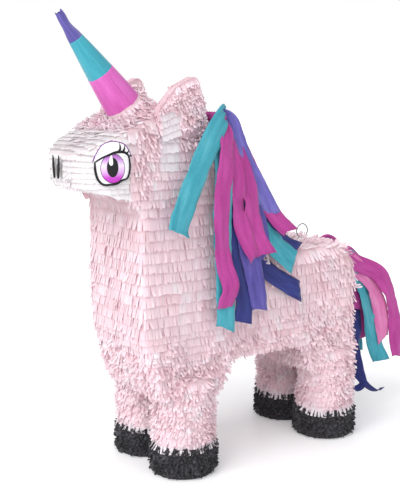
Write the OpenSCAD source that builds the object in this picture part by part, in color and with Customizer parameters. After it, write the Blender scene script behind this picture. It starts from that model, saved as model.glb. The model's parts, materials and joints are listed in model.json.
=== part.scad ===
// Unicorn pinata: a corrugated-card shell on four rolled-card legs, covered in tissue fringe,
// with a paper horn, crepe streamers for mane and tail, a fill flap and a wire hanging loop.
// The unicorn faces -Y, its left side is +X and it stands on Z = 0.

/* [Body] */
// Width over the two flat side panels
body_w = 124; // [100:1:150]
// Distance from the middle of the legs forward to the chest
chest_reach = 186; // [165:1:215]
// Distance from the middle of the legs back to the rump
rump_reach = 149; // [130:1:170]
// Height of the back above the floor
back_h = 264; // [235:1:300]
// Height of the arch of the belly above the floor
belly_h = 142; // [125:1:165]
// Height of the shoulders' and haunches' undersides
shoulder_h = 100; // [86:1:116]

/* [Head] */
// Distance from the chest forward to the tip of the nose
nose_reach = 71; // [50:1:90]
// Height of the poll, between the ears
poll_h = 452; // [420:1:490]
// Height of the throat, where the jaw meets the neck
throat_h = 349; // [320:1:370]
// Depth of the muzzle at the nose, from jaw to bridge
muzzle_h = 33; // [26:1:42]
// Radius of the muzzle's corners, seen from above
muzzle_r = 46; // [34:1:52]

/* [Card] */
// Thickness of the corrugated card
board_t = 3; // [2:0.5:5]
// Thickness of the glued tissue fringe
tissue_t = 4; // [2:0.5:6]

/* [Legs] */
// Distance between the front and rear leg centres
leg_base = 238; // [215:1:250]
// Distance between the left and right leg centres
leg_track = 88; // [80:1:100]
// Outer radius of a leg tube
leg_r = 34; // [26:1:38]
// Height of the black hoof fringe
hoof_h = 36; // [24:1:50]
// How far a leg tube laps up the outside of the body
leg_lap = 22; // [12:1:34]

/* [Horn] */
// Length of the horn cone
horn_len = 153; // [110:1:180]
// Radius of the horn at its base
horn_r = 24.5; // [20:0.5:34]
// Radius of the horn's open tip
horn_tip_r = 3; // [2.5:0.5:6]
// Lean of the horn towards the nose, in degrees
horn_lean = 39; // [20:1:45]
// Height of the horn's tip above the floor
horn_top = 558; // [520:1:600]
// Thickness of the horn's rolled paper
horn_t = 1.2; // [0.8:0.1:2]
// Thickness of the crepe paper wrapped on the horn
wrap_t = 0.6; // [0.4:0.1:1]

/* [Face] */
// Height of an ear above the poll
ear_rise = 34; // [20:1:50]
// Width of an eye sticker
eye_w = 48; // [38:1:54]
// Height of an eye sticker
eye_h = 57; // [44:1:62]
// Height of the eye's middle above the throat
eye_rise = 42; // [36:1:50]
// Width of one nostril
nostril_w = 5.5; // [4:0.5:8]
// Length of one nostril
nostril_h = 27; // [16:1:28]
// Distance between the nostrils' middles
nostril_gap = 12.5; // [10:0.5:20]

/* [Fill flap] */
// Width of the fill flap
flap_w = 68; // [50:1:76]
// Length of the fill flap along the back
flap_len = 54; // [40:1:58]
// Width of the ledge that the flap rests on
flap_ledge = 6; // [4:0.5:10]

/* [Hanging loop] */
// Diameter of the wooden dowel that the loop hangs on
dowel_d = 6; // [5:0.5:8]
// Diameter of the loop's wire
wire_d = 1.6; // [1.2:0.1:2.5]
// Inner radius of the hand loop
loop_r = 9; // [7:0.5:12]
// How far the loop leans each way from upright, in degrees
loop_lean = 28; // [15:1:32]

/* [Streamers] */
// Width of a crepe streamer
streamer_w = 25; // [18:1:32]
// How far the tail reaches behind the rump
tail_reach = 120; // [90:1:130]
// Length of the tail's longest drop
tail_drop = 232; // [190:1:236]

/* [Hidden] */

// Colours
card_colour = "burlywood";
pink = "mistyrose";
white_tissue = "white";
black_tissue = "dimgray";
magenta = "orchid";
teal = "lightseagreen";
purple = "slateblue";
blue = "midnightblue";

// Fineness of round surfaces and of rounded corners
$fn = 96;
arc_steps = 6;

// Where the whole model sits: its box is centred on the origin in plan
half_w = body_w / 2;
nose_y = -chest_reach - nose_reach;
tail_y = rump_reach + tissue_t + tail_reach;
y_shift = -(nose_y - tissue_t + tail_y) / 2;

// Corners of the side outline as [y, z], anticlockwise from the top of the nose
jaw_h = throat_h + 20;
CORNERS = [
    [nose_y, jaw_h + muzzle_h], [nose_y, jaw_h], [-chest_reach, throat_h],
    [-chest_reach, shoulder_h + 85], [26 - chest_reach, shoulder_h], [-76, shoulder_h],
    [-64, belly_h], [64, belly_h], [76, shoulder_h], [rump_reach, shoulder_h],
    [rump_reach, back_h], [2, back_h], [94 - chest_reach, poll_h - 18],
    [36 - chest_reach, poll_h], [-26 - chest_reach, poll_h - 31]
];
CORNER_R = [8, 8, 14, 80, 22, 14, 16, 16, 14, 22, 34, 28, 16, 24, 30];
// Places of the named corners in that list
NOSE_TOP = 0;
NOSE_BOTTOM = 1;
THROAT = 2;
SHOULDER_END = 5;
HAUNCH_START = 8;
RUMP_TOP = 10;
WITHERS = 11;
POLL = 12;

// Regions of the tissue: neck from neck_low to neck_high, white muzzle before muzzle_y
neck_low = 300;
neck_high = throat_h - 19;
muzzle_start = nose_y + muzzle_r;
muzzle_lap = 6;
muzzle_y = muzzle_start + muzzle_lap;

// Clearances
gap = 0.4;
flap_gap = 0.3;

// Fill hole, with the flap's hinge line along its rear edge
hinge_y = 80;
hinge_z = back_h + tissue_t;
plate_t = board_t;
plate_front = 19;
plate_rear = 114;
plate_top = back_h - board_t;

// Hanging loop
dowel_y = 97;
eye_r = dowel_d / 2 + 0.3;
eye_outer = eye_r + wire_d;
dowel_z = plate_top - plate_t - eye_outer - gap;
// At full lean the ring still clears the top of the tissue
loop_clearance = 0.8;
loop_cover = back_h + tissue_t - dowel_z;
loop_outer = loop_r + wire_d;
loop_reach = (loop_cover + loop_outer + loop_clearance) / cos(loop_lean);
loop_neck = loop_reach - loop_outer;
loop_slot = 2 * (loop_cover * tan(loop_lean) + wire_d + 0.5);

// Horn: its axis starts at the tip and runs down and back
horn_tip_y = nose_y - 1;
horn_bulge = 1.2;
band_low = 0.55;
band_high = 0.23;

// Feet
disc_t = board_t;
hoof_t = tissue_t + 1.5;
hoof_lift = 0.5;

// Stickers lie on the tissue
sticker_t = 0.5;
eye_turn = 17;

// Mane and tail
streamer_t = 1;
mane_layer = 1.5;
mane_clear = 4.5;
mane_x = half_w + tissue_t + mane_clear;
mane_tie_r = 7;
mane_root = [94 - chest_reach + 5.6, poll_h - 11.2];
tail_layer = 4.2;
tail_tie_r = 8;
tail_root_turn = 35;
tail_root_r = CORNER_R[RUMP_TOP] + tissue_t + gap + tail_tie_r;
tail_root = [
    rump_reach - CORNER_R[RUMP_TOP] + tail_root_r * cos(tail_root_turn),
    back_h - CORNER_R[RUMP_TOP] + tail_root_r * sin(tail_root_turn)
];

// ---- Outline functions ----

function unit(v) = v / norm(v);

function turned(v, angle) = [
    v[0] * cos(angle) - v[1] * sin(angle),
    v[0] * sin(angle) + v[1] * cos(angle)
];

// One rounded corner of an outline that is moved outwards by grow
function rounded_corner(before, corner, after, r, grow) =
    let (
        back = unit(before - corner),
        ahead = unit(after - corner),
        half = acos(back * ahead) / 2,
        centre = corner + unit(back + ahead) * r / sin(half),
        side = cross(corner - before, after - corner) > 0 ? 1 : -1,
        start = unit(corner + back * r / tan(half) - centre)
    )
    [
        for (k = [0:arc_steps])
            centre + (r + side * grow) * turned(start, side * (180 - 2 * half) * k / arc_steps)
    ];

// All points of a closed outline, arc_steps + 1 for each corner
function outline(corners, radii, grow) =
    let (n = len(corners))
    [
        for (i = [0:n - 1])
            each rounded_corner(
                corners[(i + n - 1) % n], corners[i], corners[(i + 1) % n], radii[i], grow
            )
    ];

// Side outline, and the stretch of it between two corners as a bent strip of card
function side_outline(grow) = outline(CORNERS, CORNER_R, grow);

function stretch(points, first, last) =
    let (n = len(points), count = (last - first + n) % n)
    [for (k = [0:count]) points[(first + k) % n]];

function reversed(points) = [for (k = [len(points) - 1:-1:0]) points[k]];

function strip_outline(first, last) = concat(
    stretch(side_outline(0), first, last),
    reversed(stretch(side_outline(-board_t), first, last))
);

function arc_start(corner) = corner * (arc_steps + 1);
function arc_end(corner) = arc_start(corner) + arc_steps;

// Cubic curve from a to d, and its unit normal
function curve(p, k) =
    pow(1 - k, 3) * p[0] + 3 * pow(1 - k, 2) * k * p[1] + 3 * (1 - k) * k * k * p[2] + pow(k, 3) * p[3];

function curve_normal(p, k) =
    let (
        slope = pow(1 - k, 2) * (p[1] - p[0]) + 2 * (1 - k) * k * (p[2] - p[1]) + k * k * (p[3] - p[2])
    )
    unit([-slope[1], slope[0]]);

// ---- Shared shapes ----

// Extrudes a [y, z] shape from x_from to x_to
module slab(x_from, x_to) {
    translate([x_from, 0, 0])
        rotate([90, 0, 90])
            linear_extrude(x_to - x_from)
                children();
}

// Half of everything on the +X side of x = 0 is mirrored for the right side
module on_side(side) {
    if (side == "left") children();
    else mirror([1, 0, 0]) children();
}

// Head seen from above, with a rounded muzzle; the square part runs far back
module head_plan(grow) {
    far = 700;
    translate([-half_w - grow, muzzle_start])
        square([2 * (half_w + grow), far]);
    translate([muzzle_r - half_w, nose_y - grow])
        square([2 * (half_w - muzzle_r), muzzle_r + grow]);
    for (side = [-1, 1])
        translate([side * (half_w - muzzle_r), muzzle_start])
            circle(r = muzzle_r + grow);
}

module head_column(grow) {
    linear_extrude(2 * horn_top)
        head_plan(grow);
}

// Solid block inside the card's outer face, or grown out to the tissue's outer face
module body_block(grow) {
    intersection() {
        slab(-half_w - grow, half_w + grow)
            polygon(side_outline(grow));
        head_column(grow);
    }
}

// Box between two heights, from front to rear, wider than the body
module band(y_from, y_to, z_from, z_to) {
    translate([-body_w, y_from, z_from])
        cube([2 * body_w, y_to - y_from, z_to - z_from]);
}

// A bent strip of card between the side panels
module card_strip(first, last) {
    color(card_colour)
        translate([0, y_shift, 0])
            intersection() {
                slab(board_t - half_w, half_w - board_t)
                    polygon(strip_outline(first, last));
                head_column(-board_t);
            }
}

// Slot through the back for the wire loop
module loop_opening() {
    slot_w = 2 * wire_d + 2;
    translate([-slot_w / 2, dowel_y - loop_slot / 2, dowel_z])
        cube([slot_w, loop_slot, back_h - dowel_z + 2 * tissue_t]);
}

// ---- Card shell ----

module side_panel(side) {
    color(card_colour)
        translate([0, y_shift, 0])
            on_side(side)
                difference() {
                    slab(half_w - board_t, half_w)
                        polygon(side_outline(0));
                    band(nose_y - 1, muzzle_start, 0, horn_top);
                    translate([0, dowel_y, dowel_z])
                        rotate([0, 90, 0])
                            cylinder(d = dowel_d, h = body_w);
                }
}

module muzzle_band() {
    color(card_colour)
        translate([0, y_shift, 0])
            intersection() {
                difference() {
                    head_column(0);
                    head_column(-board_t);
                    band(muzzle_start, 3 * tail_y, 0, 2 * horn_top);
                }
                slab(-half_w, half_w)
                    polygon(side_outline(0));
            }
}

module back_strip() {
    difference() {
        card_strip(arc_end(RUMP_TOP), arc_end(WITHERS));
        translate([0, y_shift, 0]) {
            translate([-flap_w / 2, hinge_y - flap_len, plate_top - 1])
                cube([flap_w, flap_len, 2 * board_t]);
            loop_opening();
        }
    }
}

// Second layer of card under the back, with the ledge of the fill hole
module back_plate() {
    color(card_colour)
        translate([0, y_shift, 0])
            difference() {
                translate([board_t - half_w, plate_front, plate_top - plate_t])
                    cube([body_w - 2 * board_t, plate_rear - plate_front, plate_t]);
                translate([flap_ledge - flap_w / 2, hinge_y - flap_len + flap_ledge, plate_top - 2 * plate_t])
                    cube([flap_w - 2 * flap_ledge, flap_len - 2 * flap_ledge, 3 * plate_t]);
                loop_opening();
            }
}

// ---- Fill flap ----

module flap_layer(z_from, z_to) {
    translate([flap_gap - flap_w / 2, hinge_y - flap_len + flap_gap, z_from])
        cube([flap_w - 2 * flap_gap, flap_len - 2 * flap_gap, z_to - z_from]);
}

module fill_flap() {
    color(card_colour)
        translate([0, y_shift, 0])
            flap_layer(plate_top + flap_gap, back_h);
}

module fill_flap_tissue() {
    color(pink)
        translate([0, y_shift, 0])
            flap_layer(back_h, hinge_z);
}

// ---- Hanging loop ----

module hanger_dowel() {
    color("tan")
        translate([-half_w, dowel_y + y_shift, dowel_z])
            rotate([0, 90, 0])
                cylinder(d = dowel_d, h = body_w);
}

module wire_ring(inner_r) {
    rotate([0, 90, 0])
        rotate_extrude()
            translate([inner_r + wire_d / 2, 0])
                circle(d = wire_d, $fn = 24);
}

// An eye round the dowel, a twisted neck and a ring for the rope, leaning to the rear
module hanger_loop() {
    color("gray")
        translate([0, dowel_y + y_shift, dowel_z])
            rotate([-loop_lean, 0, 0]) {
                wire_ring(eye_r);
                translate([0, 0, eye_r + wire_d / 2])
                    cylinder(d = 1.8 * wire_d, h = loop_neck - eye_r, $fn = 32);
                translate([0, 0, loop_reach])
                    wire_ring(loop_r);
            }
}

// ---- Legs ----

// Places its child at one leg's centre; end is -1 at the front and 1 at the rear
module at_leg(side, end) {
    translate([side * leg_track / 2, end * leg_base / 2, 0])
        children();
}

module leg_tube(side, end) {
    color(card_colour)
        translate([0, y_shift, 0])
            difference() {
                at_leg(side, end)
                    translate([0, 0, disc_t])
                        cylinder(r = leg_r, h = shoulder_h + leg_lap - disc_t);
                at_leg(side, end)
                    cylinder(r = leg_r - board_t, h = shoulder_h + 2 * leg_lap);
                body_block(0);
            }
}

module hoof_disc(side, end) {
    color(card_colour)
        translate([0, y_shift, 0])
            at_leg(side, end)
                cylinder(r = leg_r, h = disc_t);
}

// Everything that a fringed leg fills above its hoof
module leg_envelope(side, end) {
    at_leg(side, end)
        cylinder(r = leg_r + tissue_t, h = shoulder_h + leg_lap + tissue_t);
}

module leg_tissue(side, end) {
    color(pink)
        translate([0, y_shift, 0])
            difference() {
                leg_envelope(side, end);
                at_leg(side, end)
                    cylinder(r = leg_r, h = shoulder_h + leg_lap);
                at_leg(side, end)
                    translate([0, 0, -1])
                        cylinder(r = 2 * leg_r, h = hoof_h + 1);
                body_block(0);
            }
}

module hoof_tissue(side, end) {
    color(black_tissue)
        translate([0, y_shift, 0])
            at_leg(side, end)
                translate([0, 0, hoof_lift])
                    difference() {
                        cylinder(r = leg_r + hoof_t, h = hoof_h - hoof_lift);
                        translate([0, 0, -1])
                            cylinder(r = leg_r, h = hoof_h + 2);
                    }
}

// ---- Tissue on the body ----

// Hollow skin round the card between two heights, ahead of or behind the muzzle's line
module skin(z_from, z_to, y_from, y_to) {
    intersection() {
        difference() {
            body_block(tissue_t);
            body_block(0);
        }
        band(y_from, y_to, z_from, z_to);
    }
}

module body_tissue() {
    color(pink)
        translate([0, y_shift, 0])
            difference() {
                skin(0, neck_low, nose_y, 2 * rump_reach);
                for (side = [-1, 1], end = [-1, 1])
                    leg_envelope(side, end);
                translate([-flap_w / 2, hinge_y - flap_len, back_h - 1])
                    cube([flap_w, flap_len, 2 * tissue_t]);
                loop_opening();
            }
}

module neck_tissue() {
    color(pink)
        translate([0, y_shift, 0])
            skin(neck_low, neck_high, nose_y, rump_reach);
}

module head_tissue() {
    color(pink)
        translate([0, y_shift, 0])
            difference() {
                skin(neck_high, horn_top, muzzle_y, rump_reach);
                horn_solid(wrap_t, 0, 1);
                for (side = ["left", "right"])
                    on_side(side) ear_envelope();
            }
}

module muzzle_tissue() {
    color(white_tissue)
        translate([0, y_shift, 0])
            skin(neck_high, horn_top, nose_y - 2 * tissue_t, muzzle_y);
}

// ---- Horn ----

// Radius of the horn at a share k of its length from the tip, with a slight bulge
function horn_radius(k) = horn_tip_r + (horn_r - horn_tip_r) * k + horn_bulge * sin(180 * k);

// Half section of the horn from share k_from to share k_to, between two skins
function horn_section(inner, outer, k_from, k_to) =
    let (steps = 6)
    concat(
        [for (i = [0:steps]) let (k = k_from + (k_to - k_from) * i / steps) [horn_radius(k) + outer, k * horn_len]],
        [for (i = [steps:-1:0]) let (k = k_from + (k_to - k_from) * i / steps) [horn_radius(k) + inner, k * horn_len]]
    );

// Puts a shape that is built down from the tip onto the horn's axis
module on_horn_axis() {
    translate([0, horn_tip_y, horn_top])
        rotate([180 + horn_lean, 0, 0])
            children();
}

// The horn filled solid, used to clear a hole through the tissue
module horn_solid(grow, k_from, k_to) {
    on_horn_axis()
        rotate_extrude()
            polygon(concat(
                [[0, k_from * horn_len]],
                [for (i = [0:6]) let (k = k_from + (k_to - k_from) * i / 6) [horn_radius(k) + grow, k * horn_len]],
                [[0, k_to * horn_len]]
            ));
}

module horn_cone() {
    color("whitesmoke")
        translate([0, y_shift, 0])
            difference() {
                on_horn_axis()
                    rotate_extrude()
                        polygon(horn_section(-horn_t, 0, 0, 1));
                body_block(0);
            }
}

module horn_wrap(colour, k_from, k_to) {
    color(colour)
        translate([0, y_shift, 0])
            difference() {
                on_horn_axis()
                    rotate_extrude()
                        polygon(horn_section(0, wrap_t, k_from, k_to));
                body_block(0);
            }
}

// ---- Ears ----

ear_front = [20 - chest_reach, poll_h - 4];
EAR_CORNERS = [
    [24 - chest_reach, poll_h - 30], [82 - chest_reach, poll_h - 30],
    [80 - chest_reach, poll_h + 2], [69 - chest_reach, poll_h + ear_rise],
    [44 - chest_reach, poll_h + 0.66 * ear_rise], ear_front
];
EAR_R = [6, 6, 12, 5, 30, 12];
ear_x = half_w;

module ear_card(side) {
    color(card_colour)
        translate([0, y_shift, 0])
            on_side(side)
                slab(ear_x, ear_x + board_t)
                    polygon(outline(EAR_CORNERS, EAR_R, 0));
}

module ear_envelope() {
    slab(ear_x - tissue_t, ear_x + board_t + tissue_t)
        polygon(outline(EAR_CORNERS, EAR_R, tissue_t));
}

module ear_tissue(side) {
    color(pink)
        translate([0, y_shift, 0])
            on_side(side)
                difference() {
                    ear_envelope();
                    slab(ear_x, ear_x + board_t)
                        polygon(outline(EAR_CORNERS, EAR_R, 0));
                    body_block(0);
                }
}

// ---- Face ----

module sticker_skin() {
    difference() {
        head_column(tissue_t + sticker_t);
        head_column(tissue_t);
    }
}

module eye_sticker(side) {
    color("black")
        translate([0, y_shift, 0])
            on_side(side)
                intersection() {
                    sticker_skin();
                    translate([half_w - muzzle_r, muzzle_start, throat_h + eye_rise])
                        rotate([0, 0, -eye_turn])
                            translate([muzzle_r / 2, 0, 0])
                                rotate([90, 0, 90])
                                    linear_extrude(muzzle_r)
                                        polygon([for (a = [0:7.5:359]) [eye_w / 2 * cos(a), eye_h / 2 * sin(a)]]);
                }
}

module nostril_stickers() {
    color("black")
        translate([0, y_shift, 0])
            intersection() {
                sticker_skin();
                for (side = [-1, 1])
                    translate([
                        side * nostril_gap / 2 - nostril_w / 2,
                        nose_y - muzzle_r,
                        jaw_h + (muzzle_h - nostril_h) / 2
                    ])
                        cube([nostril_w, muzzle_r, nostril_h]);
            }
}

// ---- Streamers ----

// A flat crepe strip in a plane of constant x along a cubic curve of four [y, z] points
module streamer(x, points, width) {
    steps = 14;
    slab(x - streamer_t / 2, x + streamer_t / 2)
        polygon(concat(
            [for (i = [0:steps]) curve(points, i / steps) + curve_normal(points, i / steps) * width / 2],
            [for (i = [steps:-1:0]) curve(points, i / steps) - curve_normal(points, i / steps) * width / 2]
        ));
}

module mane_tie() {
    color(magenta)
        translate([0, y_shift, 0])
            difference() {
                translate([half_w / 2, mane_root[0], mane_root[1]])
                    rotate([0, 90, 0])
                        cylinder(r = mane_tie_r, h = mane_x + 9 * mane_layer - half_w / 2);
                body_block(tissue_t);
            }
}

// One mane streamer: its layer counted outwards, two handles and an end, measured from the tie
module mane_streamer(layer, first, second, end, width = streamer_w) {
    translate([0, y_shift, 0])
        difference() {
            streamer(
                mane_x + mane_layer * layer,
                [mane_root, mane_root + first, mane_root + second, mane_root + end],
                width
            );
            slab(0, body_w)
                translate(mane_root)
                    circle(r = mane_tie_r);
        }
}

module mane_teal_streamers() {
    color(teal) {
        mane_streamer(6, [-12, -30], [-36, -62], [-60, -124]);
        mane_streamer(2, [2, -90], [6, -170], [2, -259]);
        mane_streamer(1, [30, -60], [58, -150], [132, -190]);
    }
}

module mane_magenta_streamers() {
    color(magenta) {
        mane_streamer(5, [8, -80], [2, -150], [1, -228]);
        mane_streamer(4, [24, -60], [26, -120], [74, -182]);
        mane_streamer(3, [34, 6], [66, -80], [118, -150]);
    }
}

module mane_purple_streamers() {
    color(purple) {
        mane_streamer(7, [26, 14], [58, -60], [88, -122]);
        mane_streamer(0, [26, -70], [60, -196], [134, -228]);
    }
}

module mane_blue_streamers() {
    color(blue)
        mane_streamer(8, [14, -60], [22, -150], [58, -226]);
}

module tail_tie() {
    color(magenta)
        translate([-5 * tail_layer, tail_root[0] + y_shift, tail_root[1]])
            rotate([0, 90, 0])
                cylinder(r = tail_tie_r, h = 10 * tail_layer);
}

// One tail streamer: its layer from the middle, and how far back and down it ends
module tail_streamer(layer, back, drop, arch, width = streamer_w) {
    reach = rump_reach + tissue_t + back - tail_root[0];
    translate([0, y_shift, 0])
        difference() {
            streamer(
                tail_layer * layer,
                [
                    tail_root, tail_root + [0.6 * reach, arch],
                    tail_root + [reach, -0.45 * drop], tail_root + [reach, -drop]
                ],
                width
            );
            slab(-half_w, half_w)
                translate(tail_root)
                    circle(r = tail_tie_r);
        }
}

module tail_magenta_streamers() {
    color(magenta) {
        tail_streamer(4, tail_reach - streamer_w / 2, 0.66 * tail_drop, 14);
        tail_streamer(1, 0.56 * tail_reach, 0.72 * tail_drop, 10);
        tail_streamer(-3, 0.42 * tail_reach, 0.8 * tail_drop, 6);
    }
}

module tail_pink_streamers() {
    color("hotpink") {
        tail_streamer(3, 0.74 * tail_reach, 0.74 * tail_drop, 12);
        tail_streamer(-4, 0.7 * tail_reach, 0.7 * tail_drop, 12);
    }
}

module tail_teal_streamers() {
    color(teal) {
        tail_streamer(2, 0.62 * tail_reach, 0.84 * tail_drop, 8);
        tail_streamer(-1, 0.4 * tail_reach, tail_drop, 4);
    }
}

module tail_blue_streamers() {
    color(blue) {
        tail_streamer(0, 0.34 * tail_reach, 0.88 * tail_drop, 4);
        tail_streamer(-2, 0.56 * tail_reach, 0.94 * tail_drop, 8);
    }
}

// ---- Assembly ----

side_panel("left");  // left_side_panel
side_panel("right");  // right_side_panel
muzzle_band();
card_strip(arc_start(NOSE_BOTTOM), arc_end(THROAT));  // jaw_strip
card_strip(arc_end(THROAT), arc_end(SHOULDER_END));  // chest_strip
card_strip(arc_end(SHOULDER_END), arc_start(HAUNCH_START));  // belly_strip
card_strip(arc_start(HAUNCH_START), arc_end(RUMP_TOP));  // rump_strip
back_strip();
card_strip(arc_end(WITHERS), arc_end(POLL));  // nape_strip
card_strip(arc_end(POLL), arc_end(NOSE_TOP));  // crown_strip
back_plate();
hanger_dowel();
hanger_loop();
fill_flap();
fill_flap_tissue();

leg_tube(1, -1);  // front_left_leg_tube
leg_tube(-1, -1);  // front_right_leg_tube
leg_tube(1, 1);  // rear_left_leg_tube
leg_tube(-1, 1);  // rear_right_leg_tube
hoof_disc(1, -1);  // front_left_hoof_disc
hoof_disc(-1, -1);  // front_right_hoof_disc
hoof_disc(1, 1);  // rear_left_hoof_disc
hoof_disc(-1, 1);  // rear_right_hoof_disc
leg_tissue(1, -1);  // front_left_leg_tissue
leg_tissue(-1, -1);  // front_right_leg_tissue
leg_tissue(1, 1);  // rear_left_leg_tissue
leg_tissue(-1, 1);  // rear_right_leg_tissue
hoof_tissue(1, -1);  // front_left_hoof_tissue
hoof_tissue(-1, -1);  // front_right_hoof_tissue
hoof_tissue(1, 1);  // rear_left_hoof_tissue
hoof_tissue(-1, 1);  // rear_right_hoof_tissue

body_tissue();
neck_tissue();
head_tissue();
muzzle_tissue();

horn_cone();
horn_wrap(magenta, band_low, 1);  // horn_magenta_wrap
horn_wrap(teal, band_high, band_low);  // horn_teal_wrap
horn_wrap(purple, 0, band_high);  // horn_purple_wrap

ear_card("left");  // left_ear_card
ear_card("right");  // right_ear_card
ear_tissue("left");  // left_ear_tissue
ear_tissue("right");  // right_ear_tissue
eye_sticker("left");  // left_eye_sticker
eye_sticker("right");  // right_eye_sticker
nostril_stickers();

mane_tie();
mane_teal_streamers();
mane_magenta_streamers();
mane_purple_streamers();
mane_blue_streamers();
tail_tie();
tail_magenta_streamers();
tail_pink_streamers();
tail_teal_streamers();
tail_blue_streamers();
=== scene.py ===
import json
import math

import bmesh
import bpy
import numpy as np
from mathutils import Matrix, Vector, noise as field_noise
from mathutils.bvhtree import BVHTree


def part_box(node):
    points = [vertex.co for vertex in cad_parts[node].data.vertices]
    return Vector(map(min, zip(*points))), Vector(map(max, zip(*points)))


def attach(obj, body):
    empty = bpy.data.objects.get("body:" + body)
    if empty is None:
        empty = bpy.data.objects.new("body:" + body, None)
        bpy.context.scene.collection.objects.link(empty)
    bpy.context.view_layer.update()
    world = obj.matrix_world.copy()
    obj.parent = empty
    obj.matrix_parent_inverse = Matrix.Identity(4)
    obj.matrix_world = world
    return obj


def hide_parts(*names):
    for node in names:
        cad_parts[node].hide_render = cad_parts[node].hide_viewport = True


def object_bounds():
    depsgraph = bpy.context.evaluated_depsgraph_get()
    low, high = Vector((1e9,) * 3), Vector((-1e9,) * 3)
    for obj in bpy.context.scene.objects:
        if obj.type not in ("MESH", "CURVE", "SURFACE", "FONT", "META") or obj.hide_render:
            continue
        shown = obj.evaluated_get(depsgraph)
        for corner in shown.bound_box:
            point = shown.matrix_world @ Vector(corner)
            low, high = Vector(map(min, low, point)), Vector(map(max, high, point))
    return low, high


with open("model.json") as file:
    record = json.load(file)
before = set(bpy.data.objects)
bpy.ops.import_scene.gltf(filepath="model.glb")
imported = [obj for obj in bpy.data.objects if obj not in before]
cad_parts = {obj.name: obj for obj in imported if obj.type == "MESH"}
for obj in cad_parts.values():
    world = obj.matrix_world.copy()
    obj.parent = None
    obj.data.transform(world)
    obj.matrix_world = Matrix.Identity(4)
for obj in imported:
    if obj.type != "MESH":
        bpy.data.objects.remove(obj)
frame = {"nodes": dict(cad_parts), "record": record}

# A unicorn pinata: rows of tissue fringe, a crepe-wrapped horn, printed eyes and crepe streamers,
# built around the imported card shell. Lengths are metres; MM turns millimetres into metres.

MM = 0.001
cad_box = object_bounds()
rng = np.random.default_rng(417)


# ---- Camera ----

CAMERA_AZIMUTH = math.radians(55.2)
CAMERA_ELEVATION = math.radians(9.76)
CAMERA_DISTANCE = 1.2235
AIM_SIDE = -56.5 * MM
AIM_HEIGHT = -17.9 * MM


def make_camera():
    """The camera at the photograph's viewing angle, aimed from the middle of the CAD box."""
    level = math.cos(CAMERA_ELEVATION)
    back = Vector((
        math.sin(CAMERA_AZIMUTH) * level,
        -math.cos(CAMERA_AZIMUTH) * level,
        math.sin(CAMERA_ELEVATION),
    ))
    right = Vector((math.cos(CAMERA_AZIMUTH), math.sin(CAMERA_AZIMUTH), 0))
    middle = (cad_box[0] + cad_box[1]) / 2
    aim = middle + right * AIM_SIDE + Vector((0, 0, AIM_HEIGHT))
    data = bpy.data.cameras.new("camera")
    data.lens = 65.8
    data.sensor_width = 36
    camera = bpy.data.objects.new("camera", data)
    camera.location = aim + back * CAMERA_DISTANCE
    camera.rotation_mode = "QUATERNION"
    camera.rotation_quaternion = (-back).to_track_quat("-Z", "Y")
    bpy.context.scene.collection.objects.link(camera)
    bpy.context.scene.camera = camera


# ---- Small helpers ----

def unit(v):
    return v / np.maximum(np.linalg.norm(v, axis=-1, keepdims=True), 1e-12)


def corners_of(node):
    low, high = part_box(node)
    return np.array(low), np.array(high)


def smoothstep(a, b, x):
    t = np.clip((x - a) / (b - a), 0, 1)
    return t * t * (3 - 2 * t)


def make_object(name, points, faces, materials, smooth=True, values=None, uv=None, slots=None):
    """A mesh object. faces is a list of index arrays; values are named point attributes."""
    mesh = bpy.data.meshes.new(name)
    mesh.from_pydata(points.tolist(), [], faces)
    mesh.polygons.foreach_set("use_smooth", [smooth] * len(mesh.polygons))
    for key, data in (values or {}).items():
        attribute = mesh.attributes.new(key, "FLOAT", "POINT")
        attribute.data.foreach_set("value", np.asarray(data, np.float32))
    if uv is not None:
        layer = mesh.uv_layers.new(name="UVMap")
        corner = np.zeros(len(mesh.loops), np.int32)
        mesh.loops.foreach_get("vertex_index", corner)
        layer.data.foreach_set("uv", uv[corner].astype(np.float32).ravel())
    for material in materials:
        mesh.materials.append(material)
    if slots is not None:
        mesh.polygons.foreach_set("material_index", np.asarray(slots, np.int32))
    mesh.update()
    thing = bpy.data.objects.new(name, mesh)
    bpy.context.scene.collection.objects.link(thing)
    return thing


def grid_faces(rows, columns, start=0, closed=False):
    """Quads between the rows and columns of a grid of points."""
    wide = columns if closed else columns - 1
    faces = []
    for i in range(rows - 1):
        for j in range(wide):
            k = (j + 1) % columns
            a, b = start + i * columns, start + (i + 1) * columns
            faces.append((a + j, a + k, b + k, b + j))
    return faces


def through(points, steps):
    """A smooth curve through points (Catmull-Rom), as steps + 1 points evenly spread along it."""
    p = np.asarray(points, float)
    p = np.vstack([2 * p[0] - p[1], p, 2 * p[-1] - p[-2]])
    fine = []
    for i in range(1, len(p) - 2):
        t = np.linspace(0, 1, 24, endpoint=False)[:, None]
        a, b, c, d = p[i - 1], p[i], p[i + 1], p[i + 2]
        fine.append(0.5 * (2 * b + (c - a) * t + (2 * a - 5 * b + 4 * c - d) * t ** 2
                           + (3 * b - a - 3 * c + d) * t ** 3))
    fine = np.vstack([*fine, p[-2:-1]])
    run = np.concatenate([[0], np.cumsum(np.linalg.norm(np.diff(fine, axis=0), axis=1))])
    at = np.linspace(0, run[-1], steps + 1)
    return np.stack([np.interp(at, run, fine[:, k]) for k in range(fine.shape[1])], axis=1)


def wavy(x, seed, scale):
    """Smooth noise from -1 to 1 along x, with bumps about scale apart."""
    draw = np.random.default_rng(seed)
    phase = draw.uniform(0, 2 * math.pi, 4)
    rate = 2 * math.pi / scale * np.array([0.61, 1.0, 1.73, 2.39])
    share = np.array([0.4, 0.3, 0.2, 0.1])
    return sum(s * np.sin(r * x + f) for s, r, f in zip(share, rate, phase))


# ---- Materials ----

def new_material(name):
    material = bpy.data.materials.new(name)
    material.use_nodes = True
    tree = material.node_tree
    shader = tree.nodes["Principled BSDF"]
    return material, tree, shader


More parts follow.
